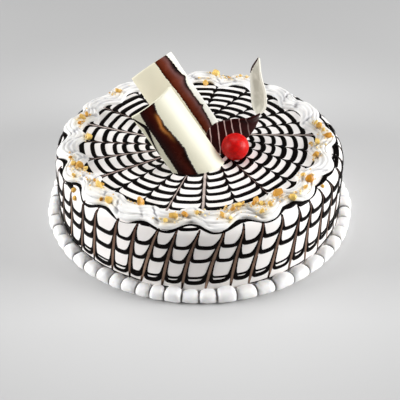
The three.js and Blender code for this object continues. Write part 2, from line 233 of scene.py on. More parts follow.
# Painted shade in the creases: the cream is painted greyer there. Relief where that starts and where it is
# full, and the colour there
RIBBON_CREASE_SHADE = (-0.4, -1.8)
RIBBON_CREASE_SHADE_COLOUR = (211, 211, 215)
# Folds across the ribbon: place within a lobe, slant, width within a lobe, depth
RIBBON_FOLDS = [(0.3, 0.16, 0.045, 1.5), (0.66, 0.2, 0.055, 1.9)]
# Strength of a fold: its mean and swing, and how the swing turns from lobe to lobe and from fold to fold
FOLD_STRENGTH = (0.6, 0.4)
FOLD_TURNS = (2.4, 9)

# Butterscotch nuggets, as in the solid: angle in degrees, radius on the cake, size
NUGGETS = [
    (167, 87.4, 1.8), (163, 87.5, 2.6), (160, 86.1, 1.9), (177, 77.4, 2.7), (134, 87, 2.2),
    (-165, 90.9, 1.7), (-159, 90.7, 2.4), (-157, 87.4, 2.8), (-155, 84.4, 1.9), (-152, 94.5, 1.6),
    (-143, 86.3, 1.5), (-139, 86.9, 3.3), (-140, 83.4, 1.8), (-132, 95, 1.4), (-129, 93, 3.0),
    (-118, 81.7, 3.6), (-103, 95.9, 1.8), (-100, 92.7, 2.8), (-96, 89.7, 2.1), (-91, 87.2, 1.4),
    (-81, 90.5, 2.1), (-78, 92.9, 1.5), (-78, 80.9, 1.4), (-76, 86, 1.8), (-73, 83.1, 2.5),
    (-70, 81.3, 1.4), (-66, 84.3, 2.0), (-65, 93.3, 2.0), (-63, 80.2, 2.9), (-63, 86.5, 1.8),
    (-60, 89.9, 2.1), (-53, 83.4, 3.0), (-49, 91, 2.4), (-41, 91.3, 1.6), (-35, 88.2, 2.6),
    (-34, 82, 1.9), (-14, 81.5, 2.6), (-4, 81.2, 2.3), (-4, 76.9, 1.5), (1, 89.3, 2.3), (6, 87.4, 1.8),
    (10, 85.6, 2.5), (13, 84.4, 1.6), (70, 90.5, 1.4), (75, 85.8, 1.4), (82, 91.5, 3.4), (87, 80.3, 3.4),
]
NUGGET_SEED = 20417
NUGGET_SIDE_FALL = 0.45
NUGGET_STAND = 0.2
NUGGET_STRETCH = [(0.9, 0.5), (0.7, 0.4), (0.55, 0.3)]
NUGGET_CORNER = (0.75, 0.5)
NUGGET_ROUND = 0.06
# Screen colours between which the nuggets vary
NUGGET_COLOURS = ((200, 134, 32), (246, 212, 120))
STREAM_FACTOR = 1664525
STREAM_STEP = 1013904223
STREAM_RANGE = 2 ** 32
# Crumbs lie round the nuggets: how many to a nugget, how far from it and from the ribbon's middle, their
# size and unevenness, and the screen colours between which they vary
CRUMBS_PER_NUGGET = 12
CRUMB_SEED = 77
CRUMB_SPREAD = 4.5
CRUMB_REACH = (-6.0, 5.0)
CRUMB_MIN = 0.3
CRUMB_MAX = 1.1
CRUMB_UNEVEN = (0.6, 1.3)
CRUMB_COLOURS = ((216, 168, 84), (244, 226, 172))
# Larger crumbs that stick to the side: degrees right of the front, level, size
SIDE_CRUMBS = [(-57.5, 52.5, 2.0), (-55.2, 48.5, 1.9), (57.5, 55.5, 1.5)]
SIDE_CRUMB_LUMP = 0.3
SIDE_CRUMB_LUMP_SIZE = 0.7
SIDE_CRUMB_COLOUR = (222, 172, 76)
# Toffee stains the cream round each nugget this far out and this much, in patches of this strength and size
STAIN_REACH = 1.8
STAIN_SHARE = 0.5
STAIN_PATCH = 0.8
STAIN_PATCH_SIZE = 3.0
STAIN_COLOUR = (246, 226, 160)

# Pearls round the foot, as in the solid
PEARL_STARTS_DEG = [
    -129.7, -123.8, -118.8, -113.1, -107.8, -102.6, -96.4, -90.2, -83.9, -77, -69.4, -62.4, -54.6, -46.9,
    -38.7, -31.6,
]
PEARL_BACK_COUNT = 40
PEARL_DEPTH = 8.6
PEARL_HEIGHT = 9.0
PEARL_WAIST = 0.7
PEARL_FULLNESS = 3
PEARL_GAP = 0.3
PEARL_UNEVEN = [(0.06, 1.7, 0.6), (0.04, 4.1, 0)]
PEARL_SECTIONS = 22
PEARL_POINTS = 22
PEARL_SQUARE = 2.4
# Share of a pearl's depth at which the middle of its sections lies
PEARL_MIDDLE = 0.44
# Lumps: height and size, and the share and size of finer ones among them
PEARL_LUMP = 0.4
PEARL_LUMP_SIZE = 4.5
PEARL_FINE_LUMP = 0.4
PEARL_FINE_SIZE = 1.8
# Painted shade in the creases between pearls: the cream is painted greyer there. Share of the way there where
# that starts, colour there
PEARL_CREASE_SHADE_FROM = 0.84
PEARL_CREASE_SHADE_COLOUR = (112, 109, 107)

# Curved chocolate sheets, as in the solids
SHEET_THICKNESS = 2.2
SHEET_RIM = 0.5
SHEET_COLUMNS = 40
SHEET_ROWS = 64
# Rounded edge of every plate: inset and depth of the points on its corner, as share of the rim
RIM_BEVEL = 0.3
SHEETS = {
    "sheet_front": {
        "top_right": (-19.3, -13.3, 108.2), "along": (-0.557, 0.17, 0.813), "across": (0.761, 0.498, 0.417),
        "chord": 33.6, "sagitta": 6.5, "length": 70.4,
    },
    "sheet_back": {
        "top_right": (-20.0, 44.9, 102.2), "along": (-0.562, 0.45, 0.694), "across": (0.827, 0.321, 0.461),
        "chord": 34.2, "sagitta": 6.0, "length": 74.0,
    },
}
# Dark bands on the sheets: down the sheet, share across it
BAND_EDGES = {
    "sheet_front": {
        "left": [(0.2, 0.18), (3.3, 0.167), (8.2, 0.149), (13.9, 0.139), (20.1, 0.141), (35.3, 0.117),
                 (50.3, 0.088), (61.3, 0.08)],
        "right": [(0.2, 0.51), (1.3, 0.497), (6.6, 0.452), (17.1, 0.425), (29.9, 0.459), (38, 0.473),
                  (44.7, 0.424), (55.9, 0.392), (61.3, 0.384)],
    },
    "sheet_back": {
        "left": [(0.2, 0.576), (12.7, 0.585), (29, 0.62), (59, 0.625), (66, 0.625)],
        "right": [(0.2, 0.853), (5.1, 0.88), (16, 0.899), (20.3, 0.96), (21.5, 0.92), (25.6, 0.869),
                  (35, 0.868), (42, 0.886), (43.8, 0.925), (45.2, 0.875), (60.7, 0.828), (66, 0.82)],
    },
}
BAND_STEPS = 110
BAND_COLUMNS = 14
# Section of a band: height, how flat it is, and how far its edges and its underside lie in the sheet
BAND_HEIGHT = 0.35
BAND_FLATNESS = 5
BAND_EDGE_SINK = 0.02
BAND_SINK = 0.15
# Raggedness of a band's edges in shares, and how far and over what lengths its colours wander
BAND_RAGGED = 0.008
BAND_WANDER = 0.12
BAND_WANDER_SIZE = 9.0
# Screen colours across the bands from the left edge to the right one; the back band's greyer colours from its
# middle rightward are a painted sheen. The front band's painted highlight, a lighter streak: its place
# across, half width, colour, and how far down it starts, is brightest and ends
BAND_COLOURS = {
    "sheet_front": [(0.0, (14, 3, 3)), (0.3, (42, 7, 5)), (0.62, (66, 18, 8)), (0.86, (36, 9, 4)),
                    (1.0, (10, 4, 3))],
    "sheet_back": [(0.0, (54, 17, 8)), (0.15, (94, 36, 15)), (0.45, (114, 54, 38)), (0.68, (118, 80, 77)),
                   (0.82, (60, 34, 32)), (0.9, (18, 8, 8)), (1.0, (12, 6, 6))],
}
FRONT_GLINT = {"across": 0.78, "half": 0.1, "colour": (206, 132, 66), "down": (5.0, 12.0, 33.0)}
# Screen colours of the sheets: at the top, at the foot, darker as painted shade, and on the margin right of
# the band
SHEET_COLOURS = {
    "sheet_front": ((226, 223, 200), (204, 203, 184), (226, 223, 202)),
    "sheet_back": ((232, 226, 202), (222, 214, 188), (248, 247, 238)),
}
# Shares across on either side of the band's right edge between which the margin's colour comes in
MARGIN_BLEND = 0.05
# Thin dark streak on the front sheet's left margin: down, share across, half width in shares. It stays this
# share clear of the sheet's left edge.
FRONT_STREAK = [(1.3, 0.012, 0.011), (6.3, 0.066, 0.028), (10.8, 0.117, 0.037), (15.3, 0.094, 0.033),
                (20.9, 0.058, 0.019), (26.3, 0.031, 0.013), (31.8, 0.008, 0.006)]
STREAK_LEAST = 0.01
STREAK_STEPS = 40

# Curled petal, as in the solid
PETAL_THICKNESS = 1.3
PETAL_COLUMNS = 180
PETAL_ROWS = 18
PETAL_BULGE = 1.6
PETAL_TIP_INSET = 0.012
PETAL_SLOPE_STEP = 0.01
# About how wide the petal is, which turns the round of its edge into a share across, and that round
PETAL_WIDTH = 20.0
PETAL_ROUND = 0.35
PETAL_RIM = [
    (40.6, 21.5, 111.2), (42.2, 14.0, 100.0), (45.6, 8.5, 87.5), (44.8, 4.5, 79.2), (34.0, -1.1, 75.6),
    (21.0, -0.9, 74.2), (9.4, -3.4, 72.0), (4.4, -8.0, 65.0), (14.6, -17.5, 56.2),
]
PETAL_FOOT = [
    (40.6, 21.5, 111.2), (35.6, 22.3, 101.0), (35.6, 20.1, 87.0), (36.9, 15.7, 75.0), (40.8, 10.3, 69.4),
    (39.2, 5.7, 65.4), (33.6, -0.5, 59.8), (22.5, -8.5, 56.2), (14.6, -17.5, 56.2),
]
# Pale face: screen colours of the patches along its middle, greyed as painted shade, and of its rims, and how
# far from the middle the rims' colour starts and is full
PETAL_PALE_SHADED_COLOURS = ((166, 162, 149), (190, 186, 173))
PETAL_PALE_RIM_COLOUR = (214, 211, 199)
PETAL_PALE_RIM = (0.25, 0.46)
# Dark face: screen colours of its patches and stripes
PETAL_DARK_COLOURS = ((24, 4, 5), (54, 16, 14))
PETAL_STRIPE_COLOUR = (190, 164, 158)
# Stripes on the dark face stand nearly upright: how far one leans with height, and where they run, sideways
PETAL_STRIPE_LEAN = 0.16
PETAL_STRIPE_FROM = 14.0
PETAL_STRIPE_RANGE = 46.0
PETAL_STRIPES = 8.8
# How far a stripe wanders, how far from the middle of a gap it starts and is full, how far along the stripes
# are gone and still full, and how high they stand
PETAL_STRIPE_WANDER = 0.5
PETAL_STRIPE_EDGE = (0.41, 0.46)
PETAL_STRIPE_FADE = (0.72, 0.55)
PETAL_STRIPE_HEIGHT = 0.12
# Dark edge by the petal's upper tip: share along the petal, share across it that is dark
PETAL_TIP_DARK = [(0.0, 0.6), (0.03, 0.36), (0.07, 0.2), (0.12, 0.11), (0.16, 0.0)]
# The petal's edge is dark from this share along it, and below this share across it
PETAL_EDGE_DARK_FROM = 0.42
PETAL_EDGE_DARK_BELOW = 0.1

# Cherry, as in the solid
CHERRY_RADIUS = 9.3
CHERRY_CENTRE = (24.1, -18.9, 64.0)
CHERRY_COLUMNS = 96
CHERRY_ROWS = 60
CHERRY_DIMPLE = 0.07
CHERRY_DIMPLE_REACH = 0.35
# Wrinkles of its skin: height, size, and the level from which they are measured
CHERRY_WRINKLE = 0.11
CHERRY_WRINKLE_SIZE = 1.1
CHERRY_WRINKLE_LEVEL = 0.25

# Camera, in metres and degrees
CAMERA_PLACE = (0.0, -0.6372, 0.4726)
CAMERA_PITCH_DEG = 36.26
CAMERA_SENSOR = 36.0
CAMERA_LENS = 98.2
CAMERA_SHIFT = 0.00075

# Floor, in metres: half its size, points each way, and screen greys: those of its patches by the cake, and
# those farther out, darker as painted shade, with the distances at which each starts and is full
FLOOR_HALF = 3.0
FLOOR_POINTS = 24
FLOOR_GREYS = (198, 202)
FLOOR_PATCH = 300.0
FLOOR_FARTHER = [(0.11, 0.3, 178), (0.4, 1.3, 120)]

# Lights, all turned to one point: place and size in metres, power in watts
LIGHTS = {
    "left_box": ((-1.22, -0.16, 0.45), (0.6, 0.6), 18.4),
    "right_box": ((1.22, -0.16, 0.45), (0.6, 0.6), 21.4),
    "top_box": ((0.0, 0.3, 1.25), (0.8, 0.6), 7.2),
}
LIGHT_TARGET = (0.0, 0.0, 0.04)
WORLD_STRENGTH = 0.14

# Noise values between which the patches of a finish change, plain and tinted, and how far its roughness
# departs from the mean
PATCH_SPAN = (0.35, 0.65)
TINTED_PATCH_SPAN = (0.3, 0.7)
SOFT_SPREAD = (-0.06, 0.06)
GLOSSY_SPREAD = (-0.05, 0.08)
TINTED_SPREAD = (-0.05, 0.1)


# Numbers and noise

def smoothstep(low, high, x):
    share = np.clip((x - low) / (high - low), 0.0, 1.0)
    return share * share * (3.0 - 2.0 * share)


def waves(terms, x):
    """Sum of slow waves: each term is its size, its rate and its start"""
    return sum(size * np.sin(rate * x + start) for size, rate, start in terms)


def lumps(points, scale, shift=0.0):
    """Smooth noise from about -1 to 1, with lumps of that scale"""
    points = np.asarray(points, float)
    offset = Vector((shift, shift, shift))
    values = [noise.noise(Vector(p) / scale + offset) for p in points.reshape(-1, 3)]
    return np.array(values).reshape(points.shape[:-1])


def srgb(red, green, blue):
    """Linear colour of a screen colour from 0 to 255, by the sRGB rule"""
    shares = [channel / 255 for channel in (red, green, blue)]
    return tuple(((share + 0.055) / 1.055) ** 2.4 if share > 0.04045 else share / 12.92 for share in shares)


def blend_colours(first, second, share):
    share = np.asarray(share)[..., None]
    return np.asarray(first) * (1 - share) + np.asarray(second) * share


def blend_screen(colours, share):
    """Linear colour between two screen colours"""
    first, second = colours
    return blend_colours(srgb(*first), srgb(*second), share)


def curve_points(control, places):
    """Centripetal Catmull-Rom curve through the control points, at places from 0 to 1"""
    control = np.asarray(control, float)
    padded = np.vstack([2 * control[0] - control[1], control, 2 * control[-1] - control[-2]])
    spans = len(control) - 1
    at = np.clip(np.asarray(places, float), 0, 1) * spans
    first = np.minimum(at.astype(int), spans - 1)
    weight = (at - first)[:, None]
    p0, p1, p2, p3 = (padded[first + k] for k in range(4))
    pairs = ((p0, p1), (p1, p2), (p2, p3))
    d0, d1, d2 = (np.sqrt(np.linalg.norm(b - a, axis=1, keepdims=True)) for a, b in pairs)
    leave = ((p1 - p0) / d0 - (p2 - p0) / (d0 + d1) + (p2 - p1) / d1) * d1
    arrive = ((p2 - p1) / d1 - (p3 - p1) / (d1 + d2) + (p3 - p2) / d2) * d1
    cube = 2 * p1 - 2 * p2 + leave + arrive
    square = 3 * p2 - 3 * p1 - 2 * leave - arrive
    return p1 + weight * (leave + weight * (square + weight * cube))


# Meshes

def grid_faces(rows, columns, loop_rows=False, loop_columns=False):
    """Four-sided faces of a grid of points, row after row"""
    row = np.arange(rows if loop_rows else rows - 1)[:, None]
    column = np.arange(columns if loop_columns else columns - 1)[None, :]
    next_row = (row + 1) % rows
    next_column = (column + 1) % columns
    corners = (row * columns + column, row * columns + next_column,
               next_row * columns + next_column, next_row * columns + column)
    return np.stack(corners, -1).reshape(-1, 4).tolist()


def ball_faces(rows, columns):
    """Faces of closed rows of points, shut at both ends by the two poles that come after them"""
    faces = grid_faces(rows, columns, loop_columns=True)
    pole = rows * columns
    last = pole - columns
    for column in range(columns):
        beside = (column + 1) % columns
        faces.append([column, beside, pole])
        faces.append([last + column, last + beside, pole + 1])
    return faces


def grid_edge(rows, columns):
    """Indices round the edge of a grid, in order"""
    top = list(range(columns))
    right = [row * columns + columns - 1 for row in range(1, rows)]
    bottom = [(rows - 1) * columns + column for column in range(columns - 2, -1, -1)]
    left = [row * columns for row in range(rows - 2, 0, -1)]
    return top + right + bottom + left


class Pile:
    """Points, faces and colours of many small forms that make one piece"""

    def __init__(self):
        self.points = []
        self.faces = []
        self.colours = []
        self.count = 0

    def add(self, points, faces, colours=None):
        points = np.asarray(points, float).reshape(-1, 3)
        self.points.append(points)
        self.faces.extend([corner + self.count for corner in face] for face in faces)
        if colours is not None:
            self.colours.append(np.broadcast_to(colours, points.shape))
        self.count += len(points)

    def add_tube(self, sections, colours=None):
        """Closed form through a row of closed sections, capped at both ends"""
        rows, columns = sections.shape[:2]
        faces = grid_faces(rows, columns, loop_columns=True)
        faces.append(list(range(columns)))
        faces.append(list(range((rows - 1) * columns, rows * columns)))
        self.add(sections, faces, None if colours is None else np.asarray(colours).reshape(-1, 3))


def make_piece(name, pile, materials, stands_for=None, face_materials=None, smooth=True):
    mesh = bpy.data.meshes.new(name)
    mesh.from_pydata((np.concatenate(pile.points) * MM).tolist(), [], pile.faces)
    if pile.colours:
        tint = mesh.color_attributes.new("tint", "FLOAT_COLOR", "POINT")
        rgba = np.ones((pile.count, 4))
        rgba[:, :3] = np.concatenate(pile.colours)
        tint.data.foreach_set("color", rgba.ravel())
    for material in materials:
        mesh.materials.append(material)
    if face_materials is not None:
        mesh.polygons.foreach_set("material_index", face_materials)
    form = bmesh.new()
    form.from_mesh(mesh)
    bmesh.ops.recalc_face_normals(form, faces=form.faces)
    form.to_mesh(mesh)
    form.free()
    mesh.polygons.foreach_set("use_smooth", [smooth] * len(mesh.polygons))
    piece = bpy.data.objects.new(name, mesh)
    bpy.context.scene.collection.objects.link(piece)
    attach(piece, "root")
    if stands_for:
        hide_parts(stands_for)
    return piece


# Materials

class Finish:
    """Principled material with helpers for the nodes that vary it"""

    def __init__(self, name, sockets):
        self.material = bpy.data.materials.new(name)
        self.material.use_nodes = True
        self.nodes = self.material.node_tree.nodes
        self.links = self.material.node_tree.links
        self.shader = self.nodes["Principled BSDF"]
        for socket, value in sockets.items():
            self.shader.inputs[socket].default_value = value

    def noise(self, size, detail=3.0):
        """Noise with lumps about that many millimetres across"""
        place = self.nodes.new("ShaderNodeTexCoord")
        texture = self.nodes.new("ShaderNodeTexNoise")
        texture.inputs["Scale"].default_value = 1.0 / (size * MM)
        texture.inputs["Detail"].default_value = detail
        self.links.new(place.outputs["Object"], texture.inputs["Vector"])
        return texture.outputs["Fac"]

    def tint(self):
        node = self.nodes.new("ShaderNodeAttribute")
        node.attribute_name = "tint"
        return node.outputs["Color"]

    def math(self, operation, first, second=None):
        node = self.nodes.new("ShaderNodeMath")
        node.operation = operation
        for socket, value in zip(node.inputs, (first, second)):
            if isinstance(value, (int, float)):
                socket.default_value = value
            elif value is not None:
                self.links.new(value, socket)
        return node.outputs[0]

    def share(self, value, low, high):
        """Value brought to 0 at low and 1 at high"""
        node = self.nodes.new("ShaderNodeMapRange")
        node.interpolation_type = "SMOOTHSTEP"
        node.inputs["From Min"].default_value = low
        node.inputs["From Max"].default_value = high
        self.links.new(value, node.inputs["Value"])
        return node.outputs["Result"]

    def mix(self, share, first, second, blend="MIX"):
        node = self.nodes.new("ShaderNodeMix")
        node.data_type = "RGBA"
        node.blend_type = blend
        for socket, value in zip((node.inputs[0], node.inputs[6], node.inputs[7]), (share, first, second)):
            if isinstance(value, tuple):
                socket.default_value = (*value, 1.0)
            elif isinstance(value, float):
                socket.default_value = value
            else:
                self.links.new(value, socket)
        return node.outputs[2]

    def colour(self, value):
        self.links.new(value, self.shader.inputs["Base Color"])

    def roughness(self, value, low, high):
        node = self.nodes.new("ShaderNodeMapRange")
        node.inputs["To Min"].default_value = low
        node.inputs["To Max"].default_value = high
        self.links.new(value, node.inputs["Value"])
        self.links.new(node.outputs["Result"], self.shader.inputs["Roughness"])

    def bump(self, height, depth):
        """Fine relief of that depth in millimetres"""
        node = self.nodes.new("ShaderNodeBump")
        node.inputs["Distance"].default_value = depth * MM
        self.links.new(height, node.inputs["Height"])
        self.links.new(node.outputs["Normal"], self.shader.inputs["Normal"])


def soft_finish(name, light, shade, patch, grain, depth, roughness, subsurface, tinted=False):
    """Icing or cream: two close whites in soft patches with a fine grain"""
    finish = Finish(name, {
        "Subsurface Weight": subsurface, "Subsurface Radius": (1.0, 0.85, 0.7), "Subsurface Scale": 0.002,
        "Specular IOR Level": 0.4,
    })
    white = finish.mix(finish.share(finish.noise(patch), *PATCH_SPAN), light, shade)
    finish.colour(finish.mix(1.0, finish.tint(), white, "MULTIPLY") if tinted else white)
    finish.roughness(finish.noise(patch / 3), *(roughness + part for part in SOFT_SPREAD))
    finish.bump(finish.noise(grain, detail=4.0), depth)
    return finish.material


def glossy_finish(name, light, shade, patch, grain, depth, roughness, shine, coat=0.0):
    """Chocolate or glaze: two close colours in patches under a shining skin"""
    finish = Finish(name, {"Specular IOR Level": shine, "Coat Weight": coat, "Coat Roughness": 0.12})
    finish.colour(finish.mix(finish.share(finish.noise(patch), *PATCH_SPAN), light, shade))
    finish.roughness(finish.noise(patch / 2), *(roughness + part for part in GLOSSY_SPREAD))
    finish.bump(finish.noise(grain), depth)
    return finish.material


def tinted_finish(name, patch, contrast, grain, depth, roughness, shine):
    """Surface that takes its colour from its points, broken by soft patches"""
    finish = Finish(name, {"Specular IOR Level": shine})
    patches = finish.mix(finish.share(finish.noise(patch), *TINTED_PATCH_SPAN), (contrast,) * 3, WHITE)
    finish.colour(finish.mix(1.0, finish.tint(), patches, "MULTIPLY"))
    finish.roughness(finish.noise(patch / 2), *(roughness + part for part in TINTED_SPREAD))
    finish.bump(finish.noise(grain), depth)
    return finish.material


def petal_pale():
    """Pale inner face of the petal, greyer along its middle than at its rims as painted shade"""
    finish = Finish("petal_white", {"Specular IOR Level": 0.25})
    place = finish.nodes.new("ShaderNodeSeparateColor")
    finish.links.new(finish.tint(), place.inputs["Color"])
    from_middle = finish.math("ABSOLUTE", finish.math("SUBTRACT", place.outputs["Green"], 0.5))
    patches = finish.share(finish.noise(size=7.0), *PATCH_SPAN)
    shade = finish.mix(patches, *(srgb(*colour) for colour in PETAL_PALE_SHADED_COLOURS))
    finish.colour(finish.mix(finish.share(from_middle, *PETAL_PALE_RIM), shade, srgb(*PETAL_PALE_RIM_COLOUR)))
    finish.roughness(finish.noise(size=5.0), low=0.35, high=0.48)
    finish.bump(finish.noise(size=1.2), depth=0.02)
    return finish.material


def petal_stripes():
    """Dark outer face of the petal with thin pale stripes across it, which fade to its right"""
    finish = Finish("petal_dark", {"Specular IOR Level": 0.12})
    place = finish.nodes.new("ShaderNodeSeparateColor")
    finish.links.new(finish.tint(), place.inputs["Color"])
    along = place.outputs["Red"]
    wander = finish.math("MULTIPLY", finish.noise(size=8.0, detail=1.0), PETAL_STRIPE_WANDER)
    phase = finish.math("FRACT", finish.math("ADD", finish.math("MULTIPLY", along, PETAL_STRIPES), wander))
    ridge = finish.math("ABSOLUTE", finish.math("SUBTRACT", phase, 0.5))
    fade = finish.share(along, *PETAL_STRIPE_FADE)
    line = finish.math("MULTIPLY", finish.share(ridge, *PETAL_STRIPE_EDGE), fade)
    dark = finish.mix(finish.noise(size=5.0), *(srgb(*colour) for colour in PETAL_DARK_COLOURS))
    finish.colour(finish.mix(line, dark, srgb(*PETAL_STRIPE_COLOUR)))
    finish.roughness(finish.noise(size=4.0), low=0.24, high=0.4)
    finish.bump(line, PETAL_STRIPE_HEIGHT)
    return finish.material


ICING = soft_finish("icing", srgb(246, 242, 239), srgb(241, 236, 233), patch=22.0, grain=0.9, depth=0.05,
                    roughness=0.36, subsurface=0.1)
CREAM = soft_finish("cream", srgb(240, 239, 237), srgb(232, 231, 229), patch=9.0, grain=0.7, depth=0.06,
                    roughness=0.5, subsurface=0.1, tinted=True)
PEARL_CREAM = soft_finish("pearl_cream", srgb(251, 250, 249), srgb(246, 245, 244), patch=7.0, grain=0.6,
                          depth=0.08, roughness=0.5, subsurface=0.4, tinted=True)
WEB = glossy_finish("web_chocolate", srgb(5, 3, 3), srgb(10, 6, 5), patch=7.0, grain=1.2, depth=0.03,
                    roughness=0.36, shine=0.04)
SMEAR = tinted_finish("smear", patch=2.5, contrast=0.72, grain=0.8, depth=0.04, roughness=0.4, shine=0.2)
IVORY = tinted_finish("ivory_chocolate", patch=18.0, contrast=0.97, grain=1.4, depth=0.03, roughness=0.4,
                      shine=0.35)
BAND = tinted_finish("band_chocolate", patch=9.0, contrast=0.75, grain=1.5, depth=0.03, roughness=0.24,
                     shine=0.12)
PETAL_WHITE = petal_pale()
PETAL_DARK = petal_stripes()
CHERRY = glossy_finish("cherry_skin", srgb(218, 6, 3), srgb(192, 3, 2), patch=1.8, grain=0.7, depth=0.2,
                       roughness=0.36, shine=0.25, coat=0.02)
NUGGET = tinted_finish("butterscotch", patch=1.4, contrast=0.8, grain=0.7, depth=0.12, roughness=0.32,
                       shine=0.35)
CRUMB = tinted_finish("crumb", patch=0.8, contrast=0.85, grain=0.5, depth=0.05, roughness=0.5, shine=0.3)


# Iced body

TOP_FLAT = BODY_RADIUS - EDGE_FILLET
EDGE_RUN = EDGE_FILLET * math.pi / 2
SIDE_TOP = BODY_HEIGHT - EDGE_FILLET


def on_icing(run, angle, lift):
    """Point on the icing: run goes from the middle of the top outward, over the edge and down the side"""
    run, angle, lift = np.broadcast_arrays(run, angle, lift)
    turn = np.clip((run - TOP_FLAT) / EDGE_FILLET, 0, math.pi / 2)
    uneven = sum(size * np.sin(round_rate * angle + out_rate * run + start)
                 for size, round_rate, out_rate, start in ICING_UNEVEN)
    out = lift + uneven * smoothstep(0, TOP_FLAT / 2, run)
    radius = np.minimum(run, TOP_FLAT) + (EDGE_FILLET + out) * np.sin(turn)
    height = SIDE_TOP + (EDGE_FILLET + out) * np.cos(turn) - np.maximum(run - TOP_FLAT - EDGE_RUN, 0)
    return np.stack([radius * np.cos(angle), radius * np.sin(angle), height], -1)


def run_at(level):
    """How far down the outline of the icing a level lies"""
    return TOP_FLAT + EDGE_RUN + SIDE_TOP - level


def icing():
    angle = np.arange(ICING_COLUMNS) * 2 * math.pi / ICING_COLUMNS
    runs = np.concatenate([
        np.linspace(0, TOP_FLAT, ICING_TOP_ROWS)[1:],
        TOP_FLAT + np.linspace(0, EDGE_RUN, ICING_EDGE_ROWS)[1:],
        TOP_FLAT + EDGE_RUN + np.linspace(0, SIDE_TOP, ICING_SIDE_ROWS)[1:],
    ])
    skin = on_icing(runs[:, None], angle[None, :], 0.0)
    base = [skin[-1] * (share, share, 0) for share in np.linspace(1, 0, ICING_BASE_ROWS + 1)[1:-1]]
    rows = np.concatenate([skin, np.stack(base)])
    middles = np.array([on_icing(0.0, 0.0, 0.0), (0.0, 0.0, 0.0)])
    pile = Pile()
    pile.add(np.concatenate([rows.reshape(-1, 3), middles]), ball_faces(len(rows), ICING_COLUMNS))
    make_piece("icing", pile, [ICING], "cake_body")


# Chocolate web

def lay_line(pile, plane, half, height, place, colours=None, section=LINE_SECTION):
    """Domed line along a path in a plane; place lays points of the plane on the icing"""
    step = np.gradient(plane, axis=0)
    side = np.stack([-step[:, 1], step[:, 0]], 1) / np.linalg.norm(step, axis=1, keepdims=True)
    columns = []
    for across, rise in section:
        flat = plane + side * (half * across)[:, None]
        columns.append(place(flat[:, 0], flat[:, 1], height * rise - (LINE_SINK if rise == 0 else 0)))
    pile.add_tube(np.stack(columns, 1), colours)


def lay_smear(pile, plane, half, place, edge, middle, draw):
    """Thin smear of chocolate and icing: dark at its edges, pale along its middle, with streaks"""
    across = np.array([abs(a) for a, _ in SMEAR_SECTION])
    streak = draw.uniform(-SMEAR_STREAK, SMEAR_STREAK, len(SMEAR_SECTION))
    start, fall, bend = SMEAR_PALE
    share = np.clip(start - fall * across ** bend + streak, 0, 1)
    colours = blend_colours(edge, np.asarray(middle)[..., None, :], share)
    colours = np.broadcast_to(colours, (len(plane), len(SMEAR_SECTION), 3))
    lay_line(pile, plane, half, np.full(len(plane), SMEAR_HEIGHT), place, colours, SMEAR_SECTION)


def on_top(x, y, lift):
    return on_icing(np.hypot(x, y), np.arctan2(y, x), lift)


def on_side(x, y, lift):
    return on_icing(run_at(y), x / BODY_RADIUS, lift)


def cell_places(steps):
    """Places across a cell from -1 to 1, close together at both ends"""
    return np.sin(np.linspace(-math.pi / 2, math.pi / 2, steps + 1))


def top_stroke_angle(stroke, radius):
    """Angle of a top stroke at a radius; a stroke is straight and misses the middle of the web"""
    outer, inner = (1 / place for place in TOP_STROKE_RADII)
    share = (1 / np.maximum(radius, TOP_STROKE_STRAIGHT) - outer) / (inner - outer)
    return stroke[0] + (stroke[1] - stroke[0]) * share


def top_winding(angle):
    """How far the winding has moved the rings at an angle"""
    degrees, moves = zip(*TOP_WINDING)
    turns = np.floor((np.degrees(angle) + 180) / 360)
    return np.interp(np.degrees(angle) - 360 * turns, degrees, moves) + turns * (moves[-1] - moves[0])


def top_line(pile, ring, left, right, cores, draw):
    """One cell's stretch of a ring on the top, its ends dragged inward along the strokes"""
    place = cell_places(LINE_STEPS)
    share = (place + 1) / 2
    wound = ring + top_winding(left[0] * (1 - share) + right[0] * share)
    half_cell = (right[0] - left[0]) / 2 * wound.mean()
    ease = min(1.0, 2 * half_cell / TOP_CELL_FULL)
    from_end = (1 - np.abs(place)) * half_cell
    drag = TOP_DRAG * ease * draw.uniform(*LINE_SPREAD) * np.exp(-from_end / (TOP_DRAG_REACH * ease))
    sag = TOP_SAG * ease * np.exp(-from_end / (TOP_SAG_REACH * ease))
    tilt = draw.uniform(-TOP_JITTER, TOP_JITTER) * place
    radius = np.maximum(wound + draw.uniform(-TOP_JITTER, TOP_JITTER) + tilt - drag - sag, TOP_LEAST_RADIUS)
    reach = np.maximum(radius, TOP_STROKE_STRAIGHT)
    start = top_stroke_angle(left, radius) + cores[0] / reach
    end = top_stroke_angle(right, radius) - cores[1] / reach
    angle = start * (1 - share) + end * share
    behind = smoothstep(*TOP_BEHIND, math.sin((left[0] + right[0]) / 2))
    full = TOP_HALF * (1 + TOP_BROADER_BEHIND * behind) * draw.uniform(*LINE_SPREAD)
    half = TOP_TIP + (full - TOP_TIP) * smoothstep(0.0, TOP_THICKEN * ease, from_end)
    plane = WEB_MIDDLE + np.stack([radius * np.cos(angle), radius * np.sin(angle)], 1)
    lay_line(pile, plane, half, TOP_HEIGHT * half / TOP_HALF, on_top)


